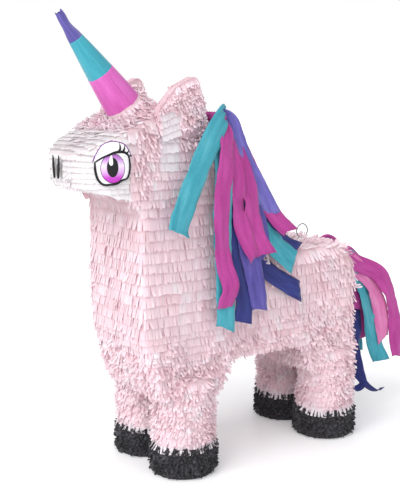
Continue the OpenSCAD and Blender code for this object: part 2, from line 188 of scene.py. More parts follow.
def surface(shader, rough=None, specular=None, sheen=None, sheen_rough=None):
    """Sets the shader's own sockets, leaving out what is None."""
    for name, value in (
        ("Roughness", rough), ("Specular IOR Level", specular),
        ("Sheen Weight", sheen), ("Sheen Roughness", sheen_rough),
    ):
        if value is not None:
            shader.inputs[name].default_value = value


def node(tree, kind, **settings):
    made = tree.nodes.new(kind)
    for key, value in settings.items():
        if key in made.inputs:
            made.inputs[key].default_value = value
        else:
            setattr(made, key, value)
    return made


def mix_colour(tree, factor, a, b, blend="MIX"):
    """A colour mix. factor, a and b are sockets or plain values."""
    made = tree.nodes.new("ShaderNodeMix")
    made.data_type = "RGBA"
    made.blend_type = blend
    for socket, value in ((made.inputs[0], factor), (made.inputs[6], a), (made.inputs[7], b)):
        if isinstance(value, bpy.types.NodeSocket):
            tree.links.new(value, socket)
        else:
            socket.default_value = value
    return made.outputs[2]


def ramp(tree, factor, stops):
    made = tree.nodes.new("ShaderNodeValToRGB")
    elements = made.color_ramp.elements
    while len(elements) < len(stops):
        elements.new(0.5)
    for element, (place, colour) in zip(elements, stops):
        element.position = place
        element.color = (*colour, 1) if len(colour) == 3 else colour
    tree.links.new(factor, made.inputs[0])
    return made.outputs[0]


def rgba(colour, by=1.0):
    return (colour[0] * by, colour[1] * by, colour[2] * by, 1)


def noise(tree, scale, detail=3.0, vector=None, stretch=None):
    """Noise in the object's own coordinates, or in the given vector, which stretch scales."""
    if vector is None:
        vector = tree.nodes.new("ShaderNodeTexCoord").outputs["Object"]
    if stretch is not None:
        mapping = node(tree, "ShaderNodeMapping", Scale=stretch)
        tree.links.new(vector, mapping.inputs["Vector"])
        vector = mapping.outputs[0]
    made = node(tree, "ShaderNodeTexNoise", Scale=scale, Detail=detail)
    tree.links.new(vector, made.inputs["Vector"])
    return made.outputs["Fac"]


def bump(tree, shader, height, distance, strength=1.0):
    made = node(tree, "ShaderNodeBump", Distance=distance, Strength=strength)
    tree.links.new(height, made.inputs["Height"])
    tree.links.new(made.outputs[0], shader.inputs["Normal"])
    return made.outputs[0]


def let_light_through(material, colour, normal, share):
    """Mixes in a Translucent shader, for thin paper that glows with the light behind it."""
    tree = material.node_tree
    output = tree.nodes["Material Output"]
    shader = tree.nodes["Principled BSDF"]
    thin = tree.nodes.new("ShaderNodeBsdfTranslucent")
    tree.links.new(colour, thin.inputs["Color"])
    tree.links.new(normal, thin.inputs["Normal"])
    mixed = node(tree, "ShaderNodeMixShader")
    mixed.inputs[0].default_value = share
    tree.links.new(shader.outputs[0], mixed.inputs[1])
    tree.links.new(thin.outputs[0], mixed.inputs[2])
    tree.links.new(mixed.outputs[0], output.inputs["Surface"])


def tissue_material(name, pale, usual, deep, bleached, thin):
    """Cut tissue: each tab has its own tint, and painted shade makes its root darker and its tip a little
    paler.
    """
    material, tree, shader = new_material(name)
    tint = node(tree, "ShaderNodeAttribute", attribute_name="tint").outputs["Fac"]
    along = node(tree, "ShaderNodeAttribute", attribute_name="along").outputs["Fac"]
    own = ramp(tree, tint, [(0.0, deep), (0.45, usual), (1.0, pale)])
    bleach = node(tree, "ShaderNodeAttribute", attribute_name="bleach").outputs["Fac"]
    own = mix_colour(tree, bleach, own, rgba(bleached))
    # painted shade along each tab: darker at the root, where the row above shadows it, and paler towards the
    # lit tip
    shade = ramp(tree, along, [(0.0, (0.86, 0.74, 0.76)), (0.45, (0.98, 0.965, 0.97)), (1.0, (1, 1, 1))])
    colour = mix_colour(tree, 1.0, own, shade, "MULTIPLY")
    cloud = ramp(tree, noise(tree, 24.0, 2.0), [(0.35, (0.93, 0.90, 0.91)), (0.65, (1, 1, 1))])
    colour = mix_colour(tree, 1.0, colour, cloud, "MULTIPLY")
    tree.links.new(colour, shader.inputs["Base Color"])
    surface(shader, 0.82, 0.25, 0.15, 0.5)
    creases = noise(tree, 900.0, 4.0, stretch=(1, 1, 0.35))
    normal = bump(tree, shader, creases, 0.0005, 0.5)
    let_light_through(material, colour, normal, thin)
    return material


def crepe_material(name, light, usual, dark, thin=0.28, creases=0.0007):
    """Crepe or tissue streamer: fine creases across its length and cloudy, uneven dye."""
    material, tree, shader = new_material(name)
    place = tree.nodes.new("ShaderNodeTexCoord").outputs["UV"]
    cloud = noise(tree, 1.0, 3.0, place, (22, 120, 1))
    colour = ramp(tree, cloud, [(0.15, dark), (0.5, usual), (0.85, light)])
    fibres = ramp(tree, noise(tree, 1.0, 5.0, place, (900, 220, 1)), [(0.3, (0.9,) * 3), (0.7, (1.05,) * 3)])
    colour = mix_colour(tree, 1.0, colour, fibres, "MULTIPLY")
    tree.links.new(colour, shader.inputs["Base Color"])
    surface(shader, 0.62, 0.35, 0.25, 0.4)
    crinkle = noise(tree, 1.0, 4.0, place, (260, 1500, 1))
    normal = bump(tree, shader, crinkle, creases, 0.7)
    let_light_through(material, colour, normal, thin)
    return material


def plain_print(name, colour, roughness):
    """Printed ink on smooth sticker paper, with a faint mottle and paper grain."""
    material, tree, shader = new_material(name)
    mottle = noise(tree, 420.0, 3.0)
    low, high = (rgba(colour, k)[:3] for k in (0.88, 1.04))
    tree.links.new(ramp(tree, mottle, [(0.3, low), (0.7, high)]), shader.inputs["Base Color"])
    surface(shader, roughness, 0.3)
    bump(tree, shader, noise(tree, 2600.0, 2.0), 0.0001, 0.4)
    return material


def iris_material():
    """The iris: magenta at its foot, lavender in the middle and purple under the lid."""
    material, tree, shader = new_material("eye_iris")
    place = tree.nodes.new("ShaderNodeTexCoord").outputs["UV"]
    split = tree.nodes.new("ShaderNodeSeparateXYZ")
    tree.links.new(place, split.inputs[0])
    colour = ramp(tree, split.outputs[1], [
        (0.0, (0.44, 0.015, 0.42)), (0.18, (0.50, 0.035, 0.50)), (0.36, (0.62, 0.34, 0.68)),
        (0.60, (0.78, 0.66, 0.83)), (0.80, (0.52, 0.24, 0.60)), (1.0, (0.28, 0.045, 0.34)),
    ])
    grain = ramp(tree, noise(tree, 500.0, 3.0), [(0.3, (0.93,) * 3), (0.7, (1.03,) * 3)])
    tree.links.new(mix_colour(tree, 1.0, colour, grain, "MULTIPLY"), shader.inputs["Base Color"])
    shader.inputs["Roughness"].default_value = 0.38
    shader.inputs["Coat Weight"].default_value = 0.15
    shader.inputs["Coat Roughness"].default_value = 0.25
    bump(tree, shader, noise(tree, 2600.0, 2.0), 0.0001, 0.4)
    return material


def card_material():
    """Corrugated kraft card: brown fibres, dark flecks and faint flutes under the liner."""
    material, tree, shader = new_material("kraft_card")
    fibres = noise(tree, 160.0, 6.0, stretch=(1, 0.25, 0.25))
    colour = ramp(tree, fibres, [
        (0.3, (0.30, 0.19, 0.105)), (0.55, (0.42, 0.28, 0.16)), (0.8, (0.53, 0.37, 0.22)),
    ])
    flecks = ramp(tree, noise(tree, 900.0, 2.0), [(0.30, (0.62, 0.55, 0.5)), (0.40, (1, 1, 1))])
    tree.links.new(mix_colour(tree, 0.7, colour, flecks, "MULTIPLY"), shader.inputs["Base Color"])
    surface(shader, 0.88, 0.2)
    flutes = node(tree, "ShaderNodeTexWave", Scale=42.0, Distortion=0.6)
    flutes.bands_direction = "Z"
    tree.links.new(tree.nodes.new("ShaderNodeTexCoord").outputs["Object"], flutes.inputs["Vector"])
    bump(tree, shader, mix_colour(tree, 0.35, flutes.outputs["Fac"], fibres), 0.0005, 0.6)
    return material


def wood_material():
    """A pale turned dowel with grain along its length."""
    material, tree, shader = new_material("dowel_wood")
    grain = noise(tree, 260.0, 6.0, stretch=(0.06, 1, 1))
    colour = ramp(tree, grain, [
        (0.3, (0.42, 0.25, 0.12)), (0.6, (0.62, 0.43, 0.24)), (0.8, (0.70, 0.52, 0.31)),
    ])
    tree.links.new(colour, shader.inputs["Base Color"])
    shader.inputs["Roughness"].default_value = 0.6
    bump(tree, shader, grain, 0.0003, 0.5)
    return material


def wire_material():
    """Dull galvanised wire with a few dark spots."""
    material, tree, shader = new_material("steel_wire")
    spots = noise(tree, 700.0, 4.0)
    colour = ramp(tree, spots, [
        (0.3, (0.10, 0.098, 0.095)), (0.6, (0.26, 0.26, 0.265)), (0.8, (0.42, 0.42, 0.43)),
    ])
    tree.links.new(colour, shader.inputs["Base Color"])
    tree.links.new(ramp(tree, spots, [(0.3, (0.6,) * 3), (0.7, (0.32,) * 3)]), shader.inputs["Roughness"])
    shader.inputs["Metallic"].default_value = 0.9
    bump(tree, shader, spots, 0.0001, 0.5)
    return material


PINK_TISSUE = tissue_material("pink_tissue", (0.96, 0.89, 0.91), (0.945, 0.775, 0.825), (0.91, 0.64, 0.69),
                              (0.93, 0.92, 0.94), 0.28)
WHITE_TISSUE = tissue_material("white_tissue", (0.95, 0.95, 0.95), (0.90, 0.90, 0.905), (0.82, 0.81, 0.82),
                               (0.95, 0.95, 0.95), 0.28)
BLACK_TISSUE = tissue_material("black_tissue", (0.085, 0.085, 0.095), (0.045, 0.044, 0.05),
                               (0.016, 0.016, 0.018), (0.10, 0.10, 0.11), 0.06)
HORN_PAPER = crepe_material("horn_paper", (0.86, 0.85, 0.83), (0.78, 0.76, 0.74), (0.66, 0.64, 0.62))
MAGENTA = crepe_material("magenta_crepe", (0.66, 0.10, 0.44), (0.56, 0.065, 0.36), (0.42, 0.035, 0.26))
TEAL = crepe_material("teal_crepe", (0.16, 0.56, 0.66), (0.07, 0.44, 0.54), (0.03, 0.32, 0.42))
PURPLE = crepe_material("purple_crepe", (0.24, 0.20, 0.62), (0.13, 0.105, 0.44), (0.07, 0.05, 0.28))
HORN_MAGENTA = crepe_material("horn_magenta_crepe", (0.80, 0.20, 0.62), (0.72, 0.14, 0.52),
                              (0.58, 0.08, 0.38), 0.12, 0.0003)
HORN_TEAL = crepe_material("horn_teal_crepe", (0.09, 0.48, 0.58), (0.055, 0.40, 0.50),
                           (0.035, 0.31, 0.40), 0.12, 0.0003)
HORN_PURPLE = crepe_material("horn_purple_crepe", (0.30, 0.26, 0.60), (0.12, 0.10, 0.38),
                             (0.07, 0.055, 0.25), 0.12, 0.0004)
BLUE = crepe_material("blue_crepe", (0.06, 0.085, 0.36), (0.035, 0.045, 0.24), (0.018, 0.02, 0.14))
PINK = crepe_material("pink_crepe", (0.90, 0.42, 0.68), (0.82, 0.24, 0.54), (0.68, 0.14, 0.42))
LILAC = crepe_material("lilac_crepe", (0.34, 0.32, 0.76), (0.20, 0.17, 0.58), (0.10, 0.08, 0.38))
KRAFT = card_material()
WOOD = wood_material()
WIRE = wire_material()
EYE_WHITE = plain_print("eye_white", (0.84, 0.83, 0.85), 0.5)
EYE_BLACK = plain_print("eye_black", (0.008, 0.007, 0.009), 0.55)
EYE_PURPLE = plain_print("eye_purple", (0.20, 0.025, 0.26), 0.5)
NOSTRIL_BLACK = plain_print("nostril_black", (0.010, 0.010, 0.011), 0.85)
EYE_IRIS = iris_material()
CREPE = {"magenta_crepe": MAGENTA, "teal_crepe": TEAL, "purple_crepe": PURPLE, "blue_crepe": BLUE,
         "pink_crepe": PINK}


# ---- Fringe ----

TAB_SEGMENTS = 5
ROOT_DEPTH = 1.4 * MM
BACKING_DEPTH = 1.3 * MM


class Fringe:
    """Collects tabs and their uncut backing, then turns them into one mesh."""

    def __init__(self):
        self.points, self.faces = [], []
        self.values = {"along": [], "tint": [], "bleach": []}
        self.count = 0

    def add(self, points, faces, along, tint, bleach):
        self.points.append(points)
        self.faces += (np.asarray(faces) + self.count).tolist()
        for key, data in (("along", along), ("tint", tint), ("bleach", bleach)):
            self.values[key].append(np.broadcast_to(data, len(points)))
        self.count += len(points)

    def tabs(self, root, normal, down, length, width, lift, ruffle, tint, bleach, floor=None):
        """One tab for each root. lift is its angle off the skin; ruffle, from 0 to 1, curls it."""
        n, k = len(root), TAB_SEGMENTS
        if n == 0:
            return
        across = unit(np.cross(normal, down))
        step = (length / k)[:, None]
        s = np.linspace(0, 1, k + 1)[None, :]
        r = ruffle[:, None]
        rise = (lift[:, None] + r * rng.gamma(2.0, 0.68, (n, 1)) * s ** 1.2
                + r * rng.normal(0, 0.6, (n, 1)) * np.sin(math.pi * s * 1.5))
        sway = rng.normal(0, 0.02, (n, 1)) + r * rng.normal(0, 0.65, (n, 1)) * s
        twist = rng.normal(0, 0.04, (n, 1)) + r * rng.normal(0, 1.1, (n, 1)) * s
        h = np.cumsum(np.sin(rise[:, :-1]) * step, axis=1)
        a = np.cumsum(np.cos(rise[:, :-1]) * np.cos(sway[:, :-1]) * step, axis=1)
        b = np.cumsum(np.cos(rise[:, :-1]) * np.sin(sway[:, :-1]) * step, axis=1)
        zero = np.zeros((n, 1))
        h, a, b = (np.hstack([zero, x]) for x in (h, a, b))
        h = np.maximum(h, 0.0) - ROOT_DEPTH * (1 - s) ** 1.5
        middle = (root[:, None] + down[:, None] * a[..., None] + normal[:, None] * h[..., None]
                  + across[:, None] * b[..., None])
        face = -np.sin(rise)[..., None] * down[:, None] + np.cos(rise)[..., None] * normal[:, None]
        side = np.cos(twist)[..., None] * across[:, None] + np.sin(twist)[..., None] * face
        half = (width / 2)[:, None, None] * (1 - 0.10 * s[..., None])
        points = np.stack([middle - side * half, middle + side * half], axis=2)
        if floor is not None:
            points[..., 2] = np.maximum(points[..., 2], floor)
        first = (np.arange(n) * 2 * (k + 1))[:, None] + (np.arange(k) * 2)[None, :]
        first = first.ravel()
        each = 2 * (k + 1)
        self.add(points.reshape(-1, 3), np.stack([first, first + 1, first + 3, first + 2], axis=1),
                 np.tile(np.repeat(s[0], 2), n), np.repeat(tint, each), np.repeat(bleach, each))

    def backing(self, points, normals, faces, depth=BACKING_DEPTH, bleach=0.0):
        """The uncut tissue beneath the tabs, drawn a little way in from the surface."""
        if len(faces):
            # along 0.25 gives the backing part of the painted shade of a tab's root
            self.add(points - normals * depth, faces, 0.25, 0.4, bleach)

    def build(self, name, material):
        values = {key: np.concatenate(parts) for key, parts in self.values.items()}
        return make_object(name, np.vstack(self.points), self.faces, [material], True, values)


def mesh_arrays(mesh):
    """A mesh's points, unit point normals and triangles."""
    mesh.calc_loop_triangles()
    points, normals = np.zeros(len(mesh.vertices) * 3), np.zeros(len(mesh.vertices) * 3)
    mesh.vertices.foreach_get("co", points)
    mesh.vertices.foreach_get("normal", normals)
    triangles = np.zeros(len(mesh.loop_triangles) * 3, np.int32)
    mesh.loop_triangles.foreach_get("vertices", triangles)
    return points.reshape(-1, 3), normals.reshape(-1, 3), triangles.reshape(-1, 3)


def node_arrays(name):
    return mesh_arrays(frame["nodes"][name].data)


def field(points, size, shift, flat=1.0):
    """Smooth noise in space, about -1 to 1, with patches of the given size; flat squeezes them in height."""
    at = points / size + shift
    at[:, 2] = at[:, 2] / flat
    return np.array([field_noise.noise(p) for p in at.tolist()]) * 1.7


def resampled(places, normals, pitch):
    """Evenly spaced places and normals along a row, with the distance along it."""
    run = np.concatenate([[0], np.cumsum(np.linalg.norm(np.diff(places, axis=0), axis=1))])
    count = max(1, int(round(run[-1] / pitch)))
    at = (np.arange(count) + 0.5) / count * run[-1]
    picked = [np.stack([np.interp(at, run, x[:, k]) for k in range(3)], axis=1) for x in (places, normals)]
    return picked[0], unit(picked[1]), at


BODY_NODES = ["body_tissue", "neck_tissue", "head_tissue", "muzzle_tissue"]
LEG_NAMES = ["front_left", "front_right", "rear_left", "rear_right"]
SKIN_NODES = BODY_NODES + [f"{name}_leg_tissue" for name in LEG_NAMES]
boxes = {name: corners_of(name) for name in SKIN_NODES + [
    "left_ear_tissue", "right_ear_tissue", "fill_flap_tissue", "hanger_loop",
    "left_eye_sticker", "nostril_stickers",
]}
body_low, body_high = boxes["body_tissue"]
head_high = boxes["head_tissue"][1]
muzzle_low, muzzle_high = boxes["muzzle_tissue"]
neck_high = boxes["neck_tissue"][1]
ear_low = boxes["left_ear_tissue"][0]
flap_low, flap_high = boxes["fill_flap_tissue"]
loop_high = boxes["hanger_loop"][1]
eye_low, eye_high = boxes["left_eye_sticker"]
nostril_low, nostril_high = boxes["nostril_stickers"]
HALF_WIDTH = body_high[0]
BACK_TOP = flap_high[2]
SHOULDER_LOW = body_low[2]
# the smooth, longer rows start here, above the ruffled ones
NECK_RUN = neck_high[2] - 131 * MM
DOWN = np.array([0, 0, -1.0])
FRONT = np.array([0, -1.0, 0])
REAR = np.array([0, 1.0, 0])

# The horn runs from its tip down and back to its base
HORN_LEAN = math.radians(39)
HORN_LENGTH = 153 * MM
HORN_TIP_R = 3.0 * MM
HORN_BASE_R = 24.5 * MM
HORN_BULGE = 1.2 * MM
HORN_TEAL_FROM, HORN_MAGENTA_FROM = 0.23, 0.55
WRAP = 0.6 * MM
tip_low, tip_high = corners_of("horn_purple_wrap")
horn_axis = np.array([0, math.sin(HORN_LEAN), -math.cos(HORN_LEAN)])
horn_tip = np.array([
    0,
    tip_low[1] + (HORN_TIP_R + WRAP) * math.cos(HORN_LEAN),
    tip_high[2] - (HORN_TIP_R + WRAP) * math.sin(HORN_LEAN),
])


def horn_radius(k):
    return HORN_TIP_R + (HORN_BASE_R - HORN_TIP_R) * k + HORN_BULGE * np.sin(math.pi * k)


def horn_distance(p):
    """How far points are outside the horn's side."""
    out = p - horn_tip
    along = out @ horn_axis
    away = np.linalg.norm(out - along[..., None] * horn_axis, axis=-1)
    return away - horn_radius(np.clip(along / HORN_LENGTH, 0, 1.1))


def soft_skin():
    """The outside of the tissue with its corners rounded: points, normals and triangles."""
    points, faces, count = [], [], 0

    def join(p, f):
        nonlocal count
        points.append(p)
        faces.extend((np.asarray(f) + count).tolist())
        count += len(p)

    for name in BODY_NODES:
        p, _, t = node_arrays(name)
        join(p, t)
    # a side panel stretched across the body fills it, and hulls fill the muzzle and the legs
    p, _, t = node_arrays("left_side_panel")
    middle = (p[:, 0].min() + p[:, 0].max()) / 2
    p[:, 0] = np.where(p[:, 0] > middle, p[:, 0].max(), -p[:, 0].max())
    join(p, t)
    for name in SKIN_NODES[3:]:
        hull = bmesh.new()
        for place in node_arrays(name)[0].tolist():
            hull.verts.new(place)
        shell = bmesh.ops.convex_hull(hull, input=hull.verts)
        loose = shell["geom_interior"] + shell["geom_unused"]
        extra = [e for e in loose if isinstance(e, bmesh.types.BMVert)]
        bmesh.ops.delete(hull, geom=list(set(extra)), context="VERTS")
        hull.verts.index_update()
        join(np.array([v.co for v in hull.verts]), [[v.index for v in f.verts] for f in hull.faces])
        hull.free()
    rough = make_object("rough_skin", np.vstack(points), faces, [])
    remesh = rough.modifiers.new("remesh", "REMESH")
    remesh.mode = "VOXEL"
    remesh.voxel_size = 4 * MM
    soften = rough.modifiers.new("soften", "SMOOTH")
    soften.factor = 0.5
    soften.iterations = 13
    graph = bpy.context.evaluated_depsgraph_get()
    mesh = bpy.data.meshes.new_from_object(rough.evaluated_get(graph))
    skin = mesh_arrays(mesh)
    old = rough.data
    bpy.data.objects.remove(rough)
    bpy.data.meshes.remove(old)
    bpy.data.meshes.remove(mesh)
    return skin


skin_points, skin_normals, skin_faces = soft_skin()


def owner_tree():
    points, faces, owners, count = [], [], [], 0
    for index, name in enumerate(SKIN_NODES):
        p, _, t = node_arrays(name)
        points += p.tolist()
        faces += (t + count).tolist()
        owners += [index] * len(t)
        count += len(p)
    return BVHTree.FromPolygons(points, faces), np.array(owners)


nearest_cad, cad_owner = owner_tree()


def owner_of(places):
    """The number of the CAD node nearest to each place."""
    return cad_owner[[nearest_cad.find_nearest(p)[2] for p in places.tolist()]]


def skin_cuts(axis, level):
    """The lines where a level plane cuts the soft skin, as places, normals and whether they close."""
    height = skin_points[:, axis] - level
    above = height[skin_faces] > 0
    cut = skin_faces[above.any(1) & ~above.all(1)]
    links = {}
    for triangle in cut.tolist():
        ends = []
        for i, j in ((0, 1), (1, 2), (2, 0)):
            a, b = triangle[i], triangle[j]
            if (height[a] > 0) != (height[b] > 0):
                ends.append((min(a, b), max(a, b)))
        links.setdefault(ends[0], []).append(ends[1])
        links.setdefault(ends[1], []).append(ends[0])
    cuts = []
    while links:
        start = next((e for e, to in links.items() if len(to) == 1), next(iter(links)))
        line, here = [start], start
        while True:
            onward = links[here].pop() if links[here] else None
            if not links[here]:
                del links[here]
            if onward is None or onward not in links:
                break
            links[onward].remove(here)
            if not links[onward]:
                del links[onward]
                line.append(onward)
                break
            line.append(onward)
            here = onward
        if len(line) < 8:
            continue
        i, j = np.array(line).T
        t = (height[i] / (height[i] - height[j]))[:, None]
        places = skin_points[i] * (1 - t) + skin_points[j] * t
        normals = unit(skin_normals[i] * (1 - t) + skin_normals[j] * t)
        cuts.append((places, normals))
    return cuts


def glued_flat(p):
    """True under the stickers, where nothing curls."""
    x, y, z = p[:, 0], p[:, 1], p[:, 2]
    eye = (y > eye_low[1] - 12 * MM) & (y < eye_high[1] + 3 * MM)
    eye &= (z > eye_low[2] - 4 * MM) & (z < eye_high[2] + 10 * MM) & (np.abs(x) > 22 * MM)
    nose = (y < nostril_high[1] + 6 * MM) & (np.abs(x) < 15 * MM) & (z > nostril_low[2] - 3 * MM)
    nose &= z < nostril_high[2] + 12 * MM
    return eye | nose


def in_white_patch(p):
    """The patch of plain white strips glued on the cheek below the left ear."""
    x, y, z = p[:, 0], p[:, 1], p[:, 2]
    return (x > 52 * MM) & (y > ear_low[1] + 4 * MM) & (y < ear_low[1] + 31 * MM) & (
        z > eye_low[2] + 24 * MM) & (z < head_high[2] - 2 * MM)


def ruffle_of(p):
    """How ruffled the fringe is over the body, from 0, flat, to 1."""
    x, y, z = p[:, 0], p[:, 1], p[:, 2]
    low = 1 - smoothstep(SHOULDER_LOW + 25 * MM, SHOULDER_LOW + 105 * MM, z)
    r = 0.07 + 0.42 * low
    r += 0.12 * smoothstep(20 * MM, 120 * MM, y) * (1 - low)
    r += 0.32 * smoothstep(neck_high[2] + 62 * MM, neck_high[2] + 92 * MM, z)
    r += 0.36 * (1 - smoothstep(4 * MM, 26 * MM, horn_distance(p))) * (z > neck_high[2])
    cheek = np.exp(-((y - eye_high[1] - 12 * MM) / (15 * MM)) ** 2
                   - ((z - eye_low[2] - 26 * MM) / (30 * MM)) ** 2)
    r += 0.40 * cheek * (abs(x) > 50 * MM)
    muzzle = (y < muzzle_high[1] - 3 * MM) & (z > neck_high[2])
    edge = 1 - smoothstep(2 * MM, 9 * MM, np.abs(z - muzzle_low[2] - 24 * MM))
    bridge = smoothstep(neck_high[2] + 70 * MM, neck_high[2] + 90 * MM, z)
    r = np.where(muzzle, 0.05 + 0.12 * bridge + 0.35 * edge, r)
    back = (z > BACK_TOP - 8 * MM) & (z < BACK_TOP + 20 * MM) & (y > -20 * MM)
    r = np.where(back, 0.30, r)
    r = r * (1 + 0.75 * field(p, 34 * MM, 5.0, 0.6)) + 0.10 * np.maximum(field(p, 15 * MM, 9.0), 0)
    r = np.where(glued_flat(p) | in_white_patch(p), 0.0, r)
    return np.clip(r, 0, 1.1)


def free_to_glue(p):
    """False in the flap's and the loop's openings, and inside the horn."""
    x, y, z = p[:, 0], p[:, 1], p[:, 2]
    on_back = (z > BACK_TOP - 9 * MM) & (z < BACK_TOP + 9 * MM)
    edge = 1.5 * MM
    in_flap = on_back & (x > flap_low[0] - edge) & (x < flap_high[0] + edge)
    in_flap &= (y > flap_low[1] - edge) & (y < flap_high[1] + edge)
    in_slot = on_back & (np.abs(x) < 4.5 * MM) & (y > flap_high[1]) & (y < loop_high[1] + 2 * MM)
    in_horn = (z > neck_high[2] + 20 * MM) & (horn_distance(p) < -1.5 * MM)
    return ~(in_flap | in_slot | in_horn)


def hang_row(fringes, places, normals, heading, allowed, seed, length, pitch, ruffle_at=ruffle_of,
             floor=None, bleach=0.0, shift=0.0, plies=2):
    """Hangs a row of tabs from a line on the surface; heading is the way they point before they meet it."""
    root, normal, at = resampled(places, normals, pitch)
    good = allowed(root, normal)
    if not good.any():
        return
    n = len(root)
    heading = np.broadcast_to(np.asarray(heading, float), (n, 3))
    down = unit(heading - normal * (heading * normal).sum(1, keepdims=True))
    local = ruffle_at(root)
    ruffle = np.clip(local + local * 0.45 * wavy(at, seed + 7, 17 * MM) + rng.normal(0, 0.02, n), 0.0, 1.2)
    stray = rng.random(n) < 0.035 * (local > 0.01)
    ruffle = np.where(stray, np.clip(ruffle + rng.uniform(0.25, 0.8, n), 0, 1.2), ruffle)
    lift = (0.055 + 0.05 * wavy(at, seed + 1, 60 * MM) + 0.10 * local
            + rng.normal(0, 0.012, n) * (local > 0.01))
    white_nose = (root[:, 1] < muzzle_high[1]) & (root[:, 2] > neck_high[2])
    lift = np.clip(lift * np.where(white_nose, 0.55, 1.0), 0.015, 1.0)
    tint = np.clip(0.46 + shift + 0.20 * wavy(at, seed + 3, 110 * MM) + rng.normal(0, 0.07, n), 0, 1)
    patch = (wavy(at, seed + 11, 52 * MM) > 0.60) & (rng.random(n) < 0.93)
    near_muzzle = np.exp(-np.maximum(root[:, 1] - muzzle_high[1], 0) / (14 * MM))
    near_muzzle = near_muzzle * (root[:, 2] > eye_high[2] - 16 * MM)
    white = np.clip(bleach + 0.55 * near_muzzle + patch * rng.uniform(0.3, 0.75) + 0.9 * in_white_patch(root)
                    + (rng.random(n) < 0.03) * 0.5, 0, 1)
    lengths = length * (1 + rng.normal(0, 0.03, n) + 0.04 * wavy(at, seed + 5, 80 * MM) - 0.06 * ruffle)
    widths = pitch * (1.06 + rng.normal(0, 0.03, n))
    drift = wavy(at, seed, 150 * MM) * 0.9 * MM + rng.normal(0, 0.25 * MM, n)
    root = root + down * drift[:, None]
    owners = owner_of(root) if isinstance(fringes, dict) else np.zeros(n, int)
    for ply in range(plies):
        if ply:
            keep = good & (local > 0.22)
            spot = (root + np.roll(root, 1, axis=0)) / 2 - down * 0.22 * length
            close = np.linalg.norm(spot - root, axis=1) < length
            keep &= close
            args = (lengths * 0.92, widths, lift + 0.05, np.clip(ruffle * 1.15 + 0.06, 0, 1.25),
                    np.clip(tint + 0.08, 0, 1), white)
        else:
            keep, spot = good, root
            args = (lengths, widths, lift, ruffle, tint, white)
        for index in np.unique(owners[keep]):
            pick = keep & (owners == index)
            target = fringes[SKIN_NODES[index]] if isinstance(fringes, dict) else fringes
            target.tabs(spot[pick], normal[pick], down[pick], *(v[pick] for v in args), floor)


def everywhere(p, n):
    return np.full(len(p), True)


def evenly(ruffle):
    return lambda p: np.full(len(p), ruffle)


def rows_between(low, high, pitch):
    return np.linspace(low, high, max(2, int(round((high - low) / pitch)) + 1))


